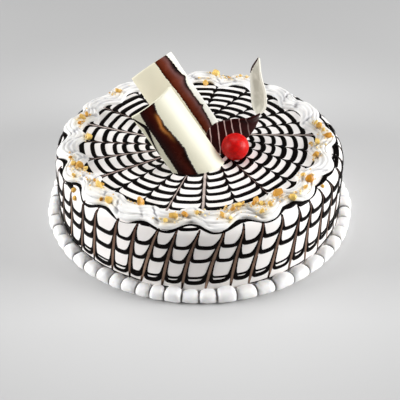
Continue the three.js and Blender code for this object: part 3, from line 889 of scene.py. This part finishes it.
def top_web():
    draw = np.random.default_rng(WEB_SEED)
    lines = Pile()
    smears = Pile()
    strokes = np.radians(TOP_STROKES_DEG)
    ends = np.vstack([strokes[1:], strokes[:1] + 2 * math.pi])
    cores = np.zeros(len(strokes))
    run = np.linspace(TOP_SMEAR_FROM, TOP_SMEAR_TO, TOP_SMEAR_STEPS)
    start, span, blunt = TOP_SMEAR_TAPER
    taper = np.sin(math.pi * (start + span * (run - run[0]) / np.ptp(run))) ** blunt
    for number, outer, inner, pale in TOP_SMEARS:
        cores[number] = (outer + inner) / 2
        angle = top_stroke_angle(strokes[number], run)
        plane = WEB_MIDDLE + np.stack([run * np.cos(angle), run * np.sin(angle)], 1)
        half = TOP_SMEAR_SPREAD * taper * np.interp(run, TOP_STROKE_RADII[::-1], (inner, outer))
        middle = blend_screen(TOP_SMEAR_MIDDLES, pale)
        lay_smear(smears, plane, half, on_top, srgb(*TOP_SMEAR_EDGE), middle, draw)
    for ring in TOP_RING_STEP * np.arange(1, TOP_RING_COUNT + 1):
        for i, (left, right) in enumerate(zip(strokes, ends)):
            radius = ring + top_winding((left[0] + right[0]) / 2)
            if TOP_WEB_INNER < radius < TOP_WEB_OUTER:
                top_line(lines, ring, left, right, (cores[i], cores[(i + 1) % len(cores)]), draw)
    make_piece("web_top", lines, [WEB])
    make_piece("smears_top", smears, [SMEAR])


def stroke_angle(stroke, level):
    """Angle of a side stroke at a level, on a curve through its three known angles"""
    top, middle, foot = stroke
    share = (level - STROKE_LEVELS[1]) / (STROKE_LEVELS[0] - STROKE_LEVELS[1])
    return middle + share * (top - foot) / 2 + share ** 2 * ((top + foot) / 2 - middle)


def side_strokes(draw):
    """The side strokes in radians, those at the back spread evenly"""
    last = SIDE_STROKES_DEG[-1][1]
    step = (SIDE_STROKES_DEG[0][1] + 360 - last) / (HIDDEN_STROKES + 1)
    jitter = draw.uniform(-STROKE_JITTER_DEG, STROKE_JITTER_DEG, HIDDEN_STROKES)
    lean = np.array(HIDDEN_STROKE_LEAN_DEG)
    hidden = [last + step * (i + 1) + jitter[i] + lean for i in range(HIDDEN_STROKES)]
    return np.radians(np.array(SIDE_STROKES_DEG + hidden) - 90)


def core_half(level):
    """Half width of a side stroke's core: pointed at the top, full in the middle, narrow at the foot"""
    share = np.clip((level - SIDE_CORE_FOOT) / (SIDE_CORE_TOP - SIDE_CORE_FOOT), 0.0, 1.0)
    start, span, bend, blunt = SIDE_CORE_TAPER
    return SIDE_CORE * np.sin(math.pi * (start + span * share ** bend)) ** blunt


def side_line(pile, level, full, pull, left, right, draw):
    """One cell's stretch of a ring on the side, its ends dragged upward along the strokes"""
    place = cell_places(LINE_STEPS)
    cell = (right[1] - left[1]) * BODY_RADIUS
    from_end = (1 - np.abs(place)) * (cell / 2 - SIDE_CORE)
    shift = draw.uniform(-SIDE_JITTER, SIDE_JITTER) + draw.uniform(-SIDE_JITTER, SIDE_JITTER) * place
    drag = pull * draw.uniform(*LINE_SPREAD) * np.exp(-from_end / SIDE_DRAG_REACH)
    left_sag, right_sag = SIDE_SAG_SHARES
    sag_share = left_sag + (right_sag - left_sag) * smoothstep(-SIDE_SAG_TURN, SIDE_SAG_TURN, place)
    sag = pull * sag_share * np.exp(-from_end / SIDE_SAG_REACH)
    height = level + shift + drag + sag
    edge = core_half(height) / cell
    share = edge + (1 - 2 * edge) * (place + 1) / 2
    angle = stroke_angle(left, height) * (1 - share) + stroke_angle(right, height) * share
    beside = smoothstep(*SIDE_BESIDE, abs(math.cos((left[1] + right[1]) / 2)))
    full = full * (1 + SIDE_BROADER_BESIDE * beside) * draw.uniform(*LINE_SPREAD)
    half = SIDE_TIP + (full - SIDE_TIP) * smoothstep(0.0, SIDE_THICKEN, from_end)
    plane = np.stack([BODY_RADIUS * angle, height], 1)
    lay_line(pile, plane, half, SIDE_HEIGHT * half / SIDE_HALF, on_side)


def lip_line(pile):
    """Dark line all round, close under the ribbon's lip: partly chocolate, partly the lip's painted shadow"""
    degrees = np.linspace(0, 360, LIP_LINE_STEPS)
    lip = ribbon_middle(degrees) + ribbon_half_width(degrees)
    turn = np.arcsin(np.clip((lip - TOP_FLAT) / EDGE_FILLET, 0.0, 1.0))
    out = (1 + ribbon_swing(degrees)) / 2
    drop, half = (gap + (lobe - gap) * out for lobe, gap in (LIP_LINE_DROPS, LIP_LINE_HALVES))
    level = SIDE_TOP + EDGE_FILLET * (math.pi / 2 - turn) - drop
    half = np.maximum(half + waves(LIP_LINE_UNEVEN, np.radians(degrees)), LIP_LINE_THIN)
    plane = np.stack([BODY_RADIUS * np.radians(degrees), level], 1)
    lay_line(pile, plane, half, SIDE_HEIGHT * half / SIDE_HALF, on_side)


def side_web():
    draw = np.random.default_rng(WEB_SEED + 1)
    lines = Pile()
    smears = Pile()
    strokes = side_strokes(draw)
    ends = np.vstack([strokes[1:], strokes[:1] + 2 * math.pi])
    for level, rise, half, pull, shown in SIDE_RINGS:
        for left, right in zip(strokes, ends):
            if draw.random() < shown:
                tilt = rise * math.cos((left[1] + right[1]) / 2)
                side_line(lines, level + tilt, half, pull, left, right, draw)
    lip_line(lines)
    height = np.linspace(SIDE_CORE_FOOT, SIDE_CORE_TOP, SIDE_CORE_STEPS)
    low = smoothstep(SIDE_CORE_TOP, SIDE_CORE_FOOT, height)
    core = core_half(height) + SIDE_CORE_UNDER
    tail = np.linspace(SIDE_TAIL_FOOT, SIDE_TAIL_TOP, SIDE_TAIL_STEPS)
    taper = np.sin(math.pi * np.linspace(*SIDE_TAIL_TAPER, SIDE_TAIL_STEPS))
    least, from_pale, from_foot = SIDE_PALE_SHARES
    for stroke in strokes:
        plane = np.stack([BODY_RADIUS * stroke_angle(stroke, height), height], 1)
        pale = draw.random() ** SIDE_PALE_POWER
        middle = blend_screen(SIDE_SMEAR_MIDDLES, least + from_pale * pale + from_foot * low)
        lay_smear(smears, plane, core, on_side, srgb(*SIDE_SMEAR_EDGE), middle, draw)
        if draw.random() < SIDE_TAIL_SHARE:
            plane = np.stack([BODY_RADIUS * stroke_angle(stroke, tail), tail], 1)
            half = SIDE_TAIL_HALF * draw.uniform(*SIDE_TAIL_SPREAD) * taper
            lay_line(lines, plane, half, SIDE_HEIGHT * half, on_side)
    make_piece("web_side", lines, [WEB])
    make_piece("smears_side", smears, [SMEAR])


# Piped ribbon with its nuggets and crumbs

# Lobes in order, closed by the first one a turn later
LOBE_ANGLES = np.array(RIBBON_LOBES_DEG + [RIBBON_LOBES_DEG[0] + 360.0])
LOBE_NUMBERS = np.arange(len(LOBE_ANGLES))


def ribbon_phase(degrees):
    """Lobes counted round the ribbon, with the share of the way to the next one"""
    place = LOBE_ANGLES[0] + (degrees - LOBE_ANGLES[0]) % 360
    return np.interp(place, LOBE_ANGLES, LOBE_NUMBERS)


def ribbon_swing(degrees):
    """1 where the ribbon swings outward in a lobe, -1 in a full notch between lobes"""
    phase = ribbon_phase(degrees)
    depths = np.array([NOTCH_DEPTHS.get(lobe, 1.0) for lobe in range(len(RIBBON_LOBES_DEG))])
    notch = ((1 - np.cos(2 * math.pi * phase)) / 2) ** NOTCH_SHARPNESS
    return 1 - 2 * depths[np.floor(phase).astype(int) % len(depths)] * notch


def ribbon_inset(degrees):
    """How much narrower the ribbon is at the left and the right, where its lip stays farther in"""
    return RIBBON_SIDE_INSET * np.cos(np.radians(degrees)) ** 2


def ribbon_middle(degrees):
    sideways = RIBBON_SIDE_SHIFT * np.cos(np.radians(degrees)) + ribbon_inset(degrees)
    return RIBBON_MID_RADIUS - sideways + RIBBON_SWING * ribbon_swing(degrees)


def ribbon_half_width(degrees):
    return RIBBON_HALF_WIDTH - ribbon_inset(degrees) + waves(WIDTH_UNEVEN, np.radians(degrees))


def ribbon_point(degrees, across, rise):
    """Point on the ribbon's upper skin; across runs from -1 at the inner foot to 1 at the outer lip"""
    degrees, across, rise = np.broadcast_arrays(degrees, across, rise)
    angle = np.radians(degrees)
    uneven = 1 + waves(HEIGHT_UNEVEN, angle)
    radius = ribbon_middle(degrees) + ribbon_half_width(degrees) * across
    droop = RIBBON_DROOP * (1 + ribbon_swing(degrees)) / 2 - RIBBON_LIFT
    height = BODY_HEIGHT + RIBBON_HEIGHT * uneven * rise - smoothstep(DROOP_START, 1, across) * droop
    return np.stack([radius * np.cos(angle), radius * np.sin(angle), height], -1)


def ribbon_relief(degrees, across, skin):
    """Depth of the piped ridges, the groove by the lip, the folds across the ribbon and the lumps"""
    phase = ribbon_phase(degrees)
    inner, outer = RELIEF_FULL
    edge = smoothstep(-1, inner, across) * smoothstep(1, outer, across)
    groove = RIBBON_GROOVE * np.exp(-((across - RIBBON_GROOVE_AT) / RIBBON_GROOVE_WIDTH) ** 2)
    far, fast = RIBBON_RIDGE_WANDER
    ridge = RIBBON_RIDGE * np.cos(2 * math.pi * RIBBON_RIDGES * (across + far * np.sin(fast * phase)))
    lump = lumps(skin, RIBBON_LUMP_SIZE) + RIBBON_FINE_LUMP * lumps(skin, RIBBON_FINE_SIZE, shift=9.0)
    settle = RIBBON_SETTLE * smoothstep(*RIBBON_SETTLE_FADE, across)
    relief = (ridge + RIBBON_LUMP * lump - settle) * edge - groove
    mean, swing = FOLD_STRENGTH
    by_lobe, by_fold = FOLD_TURNS
    for place, slant, width, depth in RIBBON_FOLDS:
        away = (phase - place - slant * across + 0.5) % 1 - 0.5
        strength = mean + swing * np.sin(by_lobe * np.floor(phase - place) + by_fold * place)
        relief = relief - depth * strength * edge * np.exp(-(away / width) ** 2)
    return relief


def ribbon_stains(points):
    """White, turned toffee yellow near the nuggets"""
    share = np.zeros(len(points))
    for degrees, radius, size in NUGGETS:
        away = np.linalg.norm(points - ribbon_seat(degrees, radius), axis=1)
        share = np.maximum(share, STAIN_SHARE * np.exp(-(away / (STAIN_REACH + size)) ** 2))
    share = np.clip(share * (1 + STAIN_PATCH * lumps(points, STAIN_PATCH_SIZE, shift=2.0)), 0, 1)
    return blend_colours(WHITE, srgb(*STAIN_COLOUR), share)


def ribbon():
    rows = len(RIBBON_LOBES_DEG) * RIBBON_STEPS_PER_LOBE
    degrees = np.interp(np.arange(rows) / RIBBON_STEPS_PER_LOBE, LOBE_NUMBERS, LOBE_ANGLES)[:, None]
    profile = curve_points(RIBBON_PROFILE, np.linspace(0, 1, RIBBON_COLUMNS))
    across = profile[None, :, 0]
    skin = ribbon_point(degrees, across, profile[None, :, 1])
    normal = np.cross(np.roll(skin, -1, 0) - np.roll(skin, 1, 0), np.gradient(skin, axis=1))
    normal *= np.sign(normal[:, RIBBON_COLUMNS // 2, 2])[:, None, None]
    normal /= np.linalg.norm(normal, axis=2, keepdims=True)
    relief = ribbon_relief(degrees, across, skin)
    skin = skin + normal * relief[..., None]
    lip_rise = RIBBON_PROFILE[-1][1]
    lip = ribbon_point(degrees, 1.0, lip_rise)[:, 0, 2]
    under = []
    for place, drop in LIP_ROUND:
        loop = ribbon_point(degrees, place, lip_rise)[:, 0]
        loop[:, 2] = lip - drop
        under.append(loop)
    bottom = BODY_HEIGHT - RIBBON_SINK
    for place, height in ((UNDER_INSET, bottom - RIBBON_DROOP), (-1.0, bottom)):
        loop = ribbon_point(degrees, place, 0.0)[:, 0]
        loop[:, 2] = height
        under.append(loop)
    sections = np.concatenate([skin, np.stack(under, 1)], 1)
    pile = Pile()
    faces = grid_faces(rows, sections.shape[1], loop_rows=True, loop_columns=True)
    # Painted shade: the cream's colour is greyed where the relief is deep
    crease_shade = np.zeros(sections.shape[:2])
    crease_shade[:, :RIBBON_COLUMNS] = smoothstep(*RIBBON_CREASE_SHADE, relief)
    grey = blend_colours(WHITE, srgb(*RIBBON_CREASE_SHADE_COLOUR), crease_shade)
    pile.add(sections, faces, ribbon_stains(sections.reshape(-1, 3)) * grey.reshape(-1, 3))
    make_piece("cream_ribbon", pile, [CREAM], "rim_ribbon")


def ribbon_seat(degrees, radius):
    """Place on top of the ribbon at a radius on the cake"""
    across = (radius - ribbon_middle(degrees)) / ribbon_half_width(degrees)
    return ribbon_point(degrees, across, 1 - NUGGET_SIDE_FALL * across ** 2)


def random_stream(seed):
    """Repeatable random numbers between 0 and 1, the same as for the solids"""
    state = seed
    while True:
        state = (state * STREAM_FACTOR + STREAM_STEP) % STREAM_RANGE
        yield state / STREAM_RANGE


# Twenty-sided lump: its corners in the order that the solids use, and how many edge lengths apart two of
# them may lie to be neighbours
LUMP_SLACK = 1.05
GOLDEN = (1 + math.sqrt(5)) / 2
LUMP_CORNERS = np.array([
    (-GOLDEN, 0, 1), (0, 1, GOLDEN), (-1, GOLDEN, 0), (1, GOLDEN, 0), (0, 1, -GOLDEN), (-GOLDEN, 0, -1),
    (GOLDEN, 0, 1), (0, -1, GOLDEN), (-1, -GOLDEN, 0), (0, -1, -GOLDEN), (GOLDEN, 0, -1), (1, -GOLDEN, 0),
]) / math.hypot(1, GOLDEN)


def lump_faces():
    """Faces of the lump: each three corners that lie next to each other"""
    edge = 2 / math.hypot(1, GOLDEN)
    touch = np.linalg.norm(LUMP_CORNERS[:, None] - LUMP_CORNERS[None], axis=2) < LUMP_SLACK * edge
    count = len(LUMP_CORNERS)
    return [(a, b, c) for a in range(count) for b in range(a + 1, count) for c in range(b + 1, count)
            if touch[a, b] and touch[b, c] and touch[a, c]]


def split_lump(corners, faces, swell):
    """Each face in four, the new corners pushed out a little"""
    middle = corners.mean(0)
    points = list(corners)
    index = {}

    def between(a, b):
        key = (min(a, b), max(a, b))
        if key not in index:
            index[key] = len(points)
            point = (corners[a] + corners[b]) / 2
            points.append(point + (point - middle) * swell)
        return index[key]

    split = []
    for a, b, c in faces:
        ab, bc, ca = between(a, b), between(b, c), between(c, a)
        split += [(a, ab, ca), (b, bc, ab), (c, ca, bc), (ab, bc, ca)]
    return np.array(points), split


def nuggets():
    stream = random_stream(NUGGET_SEED)
    faces = lump_faces()
    pile = Pile()
    for i, (degrees, radius, size) in enumerate(NUGGETS):
        seat = ribbon_seat(degrees, radius)
        seat[2] += NUGGET_STAND * size
        stretch = np.array([least + spread * next(stream) for least, spread in NUGGET_STRETCH])
        turn = Euler([2 * math.pi * next(stream) for _ in range(3)], "ZYX").to_matrix()
        scale = np.array([NUGGET_CORNER[0] + NUGGET_CORNER[1] * next(stream) for _ in LUMP_CORNERS])
        corners = LUMP_CORNERS * stretch * (size * scale)[:, None]
        corners = corners @ np.array(turn).T + seat
        points, split = split_lump(corners, faces, NUGGET_ROUND)
        pile.add(points, split, blend_screen(NUGGET_COLOURS, (i * GOLDEN) % 1))
    make_piece("nuggets", pile, [NUGGET], smooth=False)


def crumbs():
    draw = np.random.default_rng(CRUMB_SEED)
    pile = Pile()
    octahedron = np.array([(1, 0, 0), (0, 1, 0), (-1, 0, 0), (0, -1, 0), (0, 0, 1), (0, 0, -1)], float)
    faces = [(a, (a + 1) % 4, pole) for a in range(4) for pole in (4, 5)]
    for degrees, radius, _ in NUGGETS:
        for _ in range(CRUMBS_PER_NUGGET):
            along = math.degrees(draw.normal(0, CRUMB_SPREAD) / radius)
            nearest, farthest = ribbon_middle(degrees) + np.array(CRUMB_REACH)
            beside = np.clip(radius + draw.normal(0, CRUMB_SPREAD / 2), nearest, farthest)
            size = CRUMB_MIN + (CRUMB_MAX - CRUMB_MIN) * draw.random() ** 2
            uneven = draw.uniform(*CRUMB_UNEVEN, octahedron.shape)
            points = octahedron * uneven * size + ribbon_seat(degrees + along, beside)
            pile.add(points, faces, blend_screen(CRUMB_COLOURS, draw.random()))
    lump, lump_sides = split_lump(LUMP_CORNERS, lump_faces(), NUGGET_ROUND)
    for degrees, level, size in SIDE_CRUMBS:
        seat = on_side(BODY_RADIUS * math.radians(degrees - 90), level, 0.0)
        uneven = 1 + SIDE_CRUMB_LUMP * lumps(lump, SIDE_CRUMB_LUMP_SIZE, shift=degrees)[:, None]
        pile.add(lump * uneven * size + seat, lump_sides, srgb(*SIDE_CRUMB_COLOUR))
    make_piece("crumbs", pile, [CRUMB], smooth=False)


# Pearls

def power(value, exponent):
    return np.sign(value) * np.abs(value) ** exponent


def pearl_starts():
    """Angles at which the pearls start, in order, closed by the first one a turn later"""
    last = PEARL_STARTS_DEG[-1]
    step = (PEARL_STARTS_DEG[0] + 360 - last) / PEARL_BACK_COUNT
    return PEARL_STARTS_DEG + [last + step * (i + 1) for i in range(PEARL_BACK_COUNT)]


def pearls():
    pile = Pile()
    reach = (1 - PEARL_WAIST ** 2) ** (-1 / PEARL_FULLNESS)
    place = reach * np.sin(np.linspace(-math.pi / 2, math.pi / 2, PEARL_SECTIONS + 2)[1:-1])
    around = np.arange(PEARL_POINTS) * 2 * math.pi / PEARL_POINTS
    from_middle = (1 - PEARL_MIDDLE) * power(np.cos(around), 2 / PEARL_SQUARE)
    rise = 0.5 + 0.5 * power(np.sin(around), 2 / PEARL_SQUARE)
    # Painted shade: the cream's colour is greyed in the creases between pearls
    crease_shade = smoothstep(PEARL_CREASE_SHADE_FROM, 1.0, np.abs(place))
    colours = blend_colours(WHITE, srgb(*PEARL_CREASE_SHADE_COLOUR), crease_shade)
    colours = np.repeat(colours[:, None], PEARL_POINTS, 1)
    starts = pearl_starts()
    for index in range(len(starts) - 1):
        own = 1 + waves(PEARL_UNEVEN, index)
        scale = (own * np.sqrt(1 - np.abs(place / reach) ** PEARL_FULLNESS))[:, None]
        angle = np.radians(starts[index] + (starts[index + 1] - starts[index]) * (place[:, None] + 1) / 2)
        radius = BODY_RADIUS + PEARL_GAP + PEARL_DEPTH * (PEARL_MIDDLE + from_middle[None, :] * scale)
        height = PEARL_HEIGHT * rise[None, :] * scale
        sections = np.stack([radius * np.cos(angle), radius * np.sin(angle), height], -1)
        fine = PEARL_FINE_LUMP * lumps(sections, PEARL_FINE_SIZE, shift=3.0)
        swell = PEARL_LUMP * (lumps(sections, PEARL_LUMP_SIZE) + fine)
        centre = sections.mean((0, 1))
        out = sections - centre
        sections = sections + out / np.linalg.norm(out, axis=2, keepdims=True) * swell[..., None]
        sections[..., 2] = np.maximum(sections[..., 2], 0.0)
        pile.add_tube(sections, colours)
    make_piece("pearls", pile, [PEARL_CREAM], "foot_pearls")


# Plates

def rounded_plate(columns, rows, width, length, thickness, rim, skin):
    """Closed plate with rounded edges. skin gives points from shares across and along and a depth.
    Returns the points, their places, and the faces of the front, the edge and the back."""
    grid = np.meshgrid(np.linspace(0, 1, columns + 1), np.linspace(0, 1, rows + 1))
    u, v = (shares.ravel() for shares in grid)
    edge = grid_edge(rows + 1, columns + 1)
    whole = slice(None)
    bevel = RIM_BEVEL * rim
    layers = [(rim, 0.0, whole), (bevel, bevel, edge), (0.0, rim, edge), (0.0, thickness - rim, edge),
              (bevel, thickness - bevel, edge), (rim, thickness, whole)]
    points = []
    places = []
    starts = []
    count = 0
    for inset, depth, pick in layers:
        side = inset / width
        end = inset / length
        across = side + (1 - 2 * side) * u[pick]
        along = end + (1 - 2 * end) * v[pick]
        points.append(skin(across, along, depth))
        places.append(np.stack([across, along, np.full(len(across), depth)], 1))
        starts.append(count)
        count += len(across)
    front = grid_faces(rows + 1, columns + 1)
    back = [[corner + starts[-1] for corner in face] for face in front]
    last = [corner + starts[-1] for corner in edge]
    loops = [edge] + [list(range(start, start + len(edge))) for start in starts[1:-1]] + [last]
    sides = []
    for low, high in zip(loops[:-1], loops[1:]):
        for i in range(len(edge)):
            j = (i + 1) % len(edge)
            sides.append([low[i], low[j], high[j], high[i]])
    return np.concatenate(points), np.concatenate(places), front, sides, back


class Sheet:
    """Chocolate sheet bent round its length"""

    def __init__(self, name):
        size = SHEETS[name]
        self.name = name
        self.length = size["length"]
        self.along = np.array(size["along"]) / np.linalg.norm(size["along"])
        across = np.array(size["across"])
        across = across - self.along * (across @ self.along)
        self.across = across / np.linalg.norm(across)
        self.outward = np.cross(self.across, self.along)
        self.half = size["chord"] / 2
        self.bend = (self.half ** 2 + size["sagitta"] ** 2) / (2 * size["sagitta"])
        self.sweep = math.asin(self.half / self.bend)
        self.width = 2 * self.bend * self.sweep
        self.corner = np.array(size["top_right"])

    def point(self, share, down, out):
        """Point on the outer face, moved outward by out"""
        share, down, out = np.broadcast_arrays(share, down, out)
        angle = (2 * share - 1) * self.sweep
        radius = self.bend + out
        sideways = radius * np.sin(angle) - self.half
        outward = radius * np.cos(angle) - self.bend * math.cos(self.sweep)
        return self.corner + (sideways[..., None] * self.across + outward[..., None] * self.outward
                              - down[..., None] * self.along)

    def plate(self):
        return rounded_plate(SHEET_COLUMNS, SHEET_ROWS, self.width, self.length, SHEET_THICKNESS, SHEET_RIM,
                             lambda across, along, depth: self.point(across, along * self.length, -depth))


def share_at(edge, place):
    """Share across at which an edge lies, at a place along it"""
    places, shares = zip(*edge)
    return np.interp(place, places, shares)


def lay_band(pile, sheet, down, left, right, colours):
    """Dark layer on a sheet between two edges"""
    across = np.linspace(0, 1, BAND_COLUMNS)
    share = left[:, None] * (1 - across) + right[:, None] * across
    rise = BAND_HEIGHT * (1 - np.abs(2 * across - 1) ** BAND_FLATNESS) - BAND_EDGE_SINK
    top = sheet.point(share, down[:, None], np.broadcast_to(rise, share.shape))
    bottom = sheet.point(share[:, ::-1], down[:, None], -BAND_SINK)
    pile.add_tube(np.concatenate([top, bottom], 1), np.concatenate([colours, colours[:, ::-1]], 1))


def band_colours(name, points, across, down):
    """Colours of a band: stripes along it that wander, with a painted sheen on the back one, and the front
    one's painted highlight
    """
    places, colours = zip(*BAND_COLOURS[name])
    colours = np.array([srgb(*colour) for colour in colours])
    at = np.clip(across + BAND_WANDER * lumps(points, BAND_WANDER_SIZE), 0, 1)
    tint = np.stack([np.interp(at, places, channel) for channel in colours.T], -1)
    if name == "sheet_front":
        # Painted highlight: a lighter streak down the front band
        start, brightest, end = FRONT_GLINT["down"]
        streak = np.exp(-((at - FRONT_GLINT["across"]) / FRONT_GLINT["half"]) ** 2)
        streak = streak * smoothstep(start, brightest, down) * smoothstep(end, brightest, down)
        tint = blend_colours(tint, srgb(*FRONT_GLINT["colour"]), streak)
    return tint


def sheet_colours(name, places):
    """Colours of a sheet at places across and along it, darker toward its foot as painted shade"""
    top, foot, margin = (srgb(*colour) for colour in SHEET_COLOURS[name])
    right = share_at(BAND_EDGES[name]["right"], places[:, 1] * SHEETS[name]["length"])
    beyond = smoothstep(-MARGIN_BLEND, MARGIN_BLEND, places[:, 0] - right)
    return blend_colours(blend_colours(top, foot, places[:, 1]), margin, beyond)


def sheets():
    draw = np.random.default_rng(WEB_SEED + 2)
    across = np.linspace(0, 1, BAND_COLUMNS)
    for name in SHEETS:
        sheet = Sheet(name)
        pile = Pile()
        points, places, front, sides, back = sheet.plate()
        pile.add(points, front + sides + back, sheet_colours(name, places))
        make_piece("ivory_" + name, pile, [IVORY], name)
        bands = Pile()
        edges = BAND_EDGES[name]
        down = np.linspace(edges["left"][0][0], edges["left"][-1][0], BAND_STEPS)
        ragged = draw.uniform(-BAND_RAGGED, BAND_RAGGED, (2, BAND_STEPS))
        left = share_at(edges["left"], down) + ragged[0]
        right = share_at(edges["right"], down) + ragged[1]
        spots = sheet.point(left[:, None] * (1 - across) + right[:, None] * across, down[:, None], 0.0)
        lay_band(bands, sheet, down, left, right, band_colours(name, spots, across[None, :], down[:, None]))
        if name == "sheet_front":
            streak, middle, half = (np.array(column) for column in zip(*FRONT_STREAK))
            down = np.linspace(streak[0], streak[-1], STREAK_STEPS)
            middle = np.interp(down, streak, middle)
            half = np.interp(down, streak, half)
            dark = np.broadcast_to(srgb(*BAND_COLOURS[name][0][1]), (len(down), BAND_COLUMNS, 3))
            lay_band(bands, sheet, down, np.maximum(middle - half, STREAK_LEAST), middle + half, dark)
        make_piece("band_" + name, bands, [BAND])


def petal():
    def middle(along, across):
        place = PETAL_TIP_INSET + (1 - 2 * PETAL_TIP_INSET) * along
        rim = curve_points(PETAL_RIM, place)
        foot = curve_points(PETAL_FOOT, place)
        return foot + (rim - foot) * across[:, None]

    def skin(along, across, depth):
        ahead = middle(np.minimum(1, along + PETAL_SLOPE_STEP), across)
        behind = middle(np.maximum(0, along - PETAL_SLOPE_STEP), across)
        width = middle(along, np.ones_like(along)) - middle(along, np.zeros_like(along))
        inward = np.cross(ahead - behind, width)
        inward /= np.linalg.norm(inward, axis=1, keepdims=True)
        swell = PETAL_BULGE * (1 - (2 * across - 1) ** 2) * np.sin(math.pi * along)
        return middle(along, across) + inward * (PETAL_THICKNESS / 2 - depth - swell)[:, None]

    span = sum(np.linalg.norm(np.subtract(b, a)) for a, b in zip(PETAL_FOOT[:-1], PETAL_FOOT[1:]))
    points, places, front, sides, back = rounded_plate(
        PETAL_COLUMNS, PETAL_ROWS, span, PETAL_WIDTH, PETAL_THICKNESS, PETAL_ROUND, skin)
    sideways = points[:, 0] + PETAL_STRIPE_LEAN * points[:, 2] - PETAL_STRIPE_FROM
    tint = np.stack([sideways / PETAL_STRIPE_RANGE, places[:, 1], places[:, 2]], 1)
    pile = Pile()
    pile.add(points, front + sides + back, tint)
    looks = []
    for face in front:
        along, across = places[face].mean(0)[:2]
        looks.append(int(across < share_at(PETAL_TIP_DARK, along)))
    for face in sides:
        along, across = places[face].mean(0)[:2]
        looks.append(int(along > PETAL_EDGE_DARK_FROM or across < PETAL_EDGE_DARK_BELOW))
    looks += [1] * len(back)
    make_piece("striped_petal", pile, [PETAL_WHITE, PETAL_DARK], "petal", looks)


def cherry():
    turn = np.linspace(0, math.pi, CHERRY_ROWS + 1)[1:-1, None]
    angle = np.arange(CHERRY_COLUMNS)[None, :] * 2 * math.pi / CHERRY_COLUMNS
    ring = np.sin(turn)
    unit = np.stack(np.broadcast_arrays(ring * np.cos(angle), ring * np.sin(angle), np.cos(turn)), -1)
    unit = np.concatenate([unit.reshape(-1, 3), [(0, 0, 1.0), (0, 0, -1.0)]])
    dimple = 1 - CHERRY_DIMPLE * np.exp(-(np.arccos(np.clip(unit[:, 2], -1, 1)) / CHERRY_DIMPLE_REACH) ** 2)
    folds = np.abs(lumps(unit * CHERRY_RADIUS, CHERRY_WRINKLE_SIZE))
    wrinkle = CHERRY_WRINKLE * (folds - CHERRY_WRINKLE_LEVEL)
    points = unit * (CHERRY_RADIUS * dimple + wrinkle)[:, None] + CHERRY_CENTRE
    points[:, 2] = np.maximum(points[:, 2], BODY_HEIGHT)
    pile = Pile()
    pile.add(points, ball_faces(CHERRY_ROWS - 1, CHERRY_COLUMNS))
    make_piece("cherry_fruit", pile, [CHERRY], "cherry")


# Stage

def floor():
    across = np.linspace(-FLOOR_HALF, FLOOR_HALF, FLOOR_POINTS)
    x, y = np.meshgrid(across, across)
    points = np.stack([x, y, np.zeros_like(x)], -1).reshape(-1, 3)
    mesh = bpy.data.meshes.new("floor")
    mesh.from_pydata(points.tolist(), [], grid_faces(FLOOR_POINTS, FLOOR_POINTS))
    finish = Finish("floor", {"Roughness": 0.7})
    place = finish.nodes.new("ShaderNodeTexCoord")
    away = finish.nodes.new("ShaderNodeVectorMath")
    away.operation = "LENGTH"
    finish.links.new(place.outputs["Object"], away.inputs[0])
    grey = finish.mix(finish.noise(FLOOR_PATCH), *(srgb(level, level, level) for level in FLOOR_GREYS))
    # Painted shade: the floor darkens farther from the cake
    for start, full, level in FLOOR_FARTHER:
        grey = finish.mix(finish.share(away.outputs["Value"], start, full), grey, srgb(level, level, level))
    finish.colour(grey)
    mesh.materials.append(finish.material)
    plane = bpy.data.objects.new("floor", mesh)
    bpy.context.scene.collection.objects.link(plane)


def softbox(name, place, size, watts):
    data = bpy.data.lights.new(name, "AREA")
    data.shape = "RECTANGLE"
    data.size, data.size_y = size
    data.energy = watts
    lamp = bpy.data.objects.new(name, data)
    lamp.location = place
    lamp.rotation_euler = (Vector(LIGHT_TARGET) - Vector(place)).to_track_quat("-Z", "Y").to_euler()
    bpy.context.scene.collection.objects.link(lamp)


def studio():
    world = bpy.data.worlds.new("studio")
    world.use_nodes = True
    background = world.node_tree.nodes["Background"]
    background.inputs["Color"].default_value = (*WHITE, 1.0)
    background.inputs["Strength"].default_value = WORLD_STRENGTH
    bpy.context.scene.world = world
    for name, (place, size, watts) in LIGHTS.items():
        softbox(name, place, size, watts)
    bpy.context.scene.view_settings.view_transform = "Standard"
    bpy.context.scene.view_settings.look = "None"


def camera():
    data = bpy.data.cameras.new("camera")
    data.sensor_width = CAMERA_SENSOR
    data.lens = CAMERA_LENS
    data.shift_x = CAMERA_SHIFT
    view = bpy.data.objects.new("camera", data)
    view.location = CAMERA_PLACE
    view.rotation_euler = (math.radians(90 - CAMERA_PITCH_DEG), 0.0, 0.0)
    bpy.context.scene.collection.objects.link(view)
    bpy.context.scene.camera = view


icing()
top_web()
side_web()
ribbon()
nuggets()
crumbs()
pearls()
sheets()
petal()
cherry()
floor()
studio()
camera()
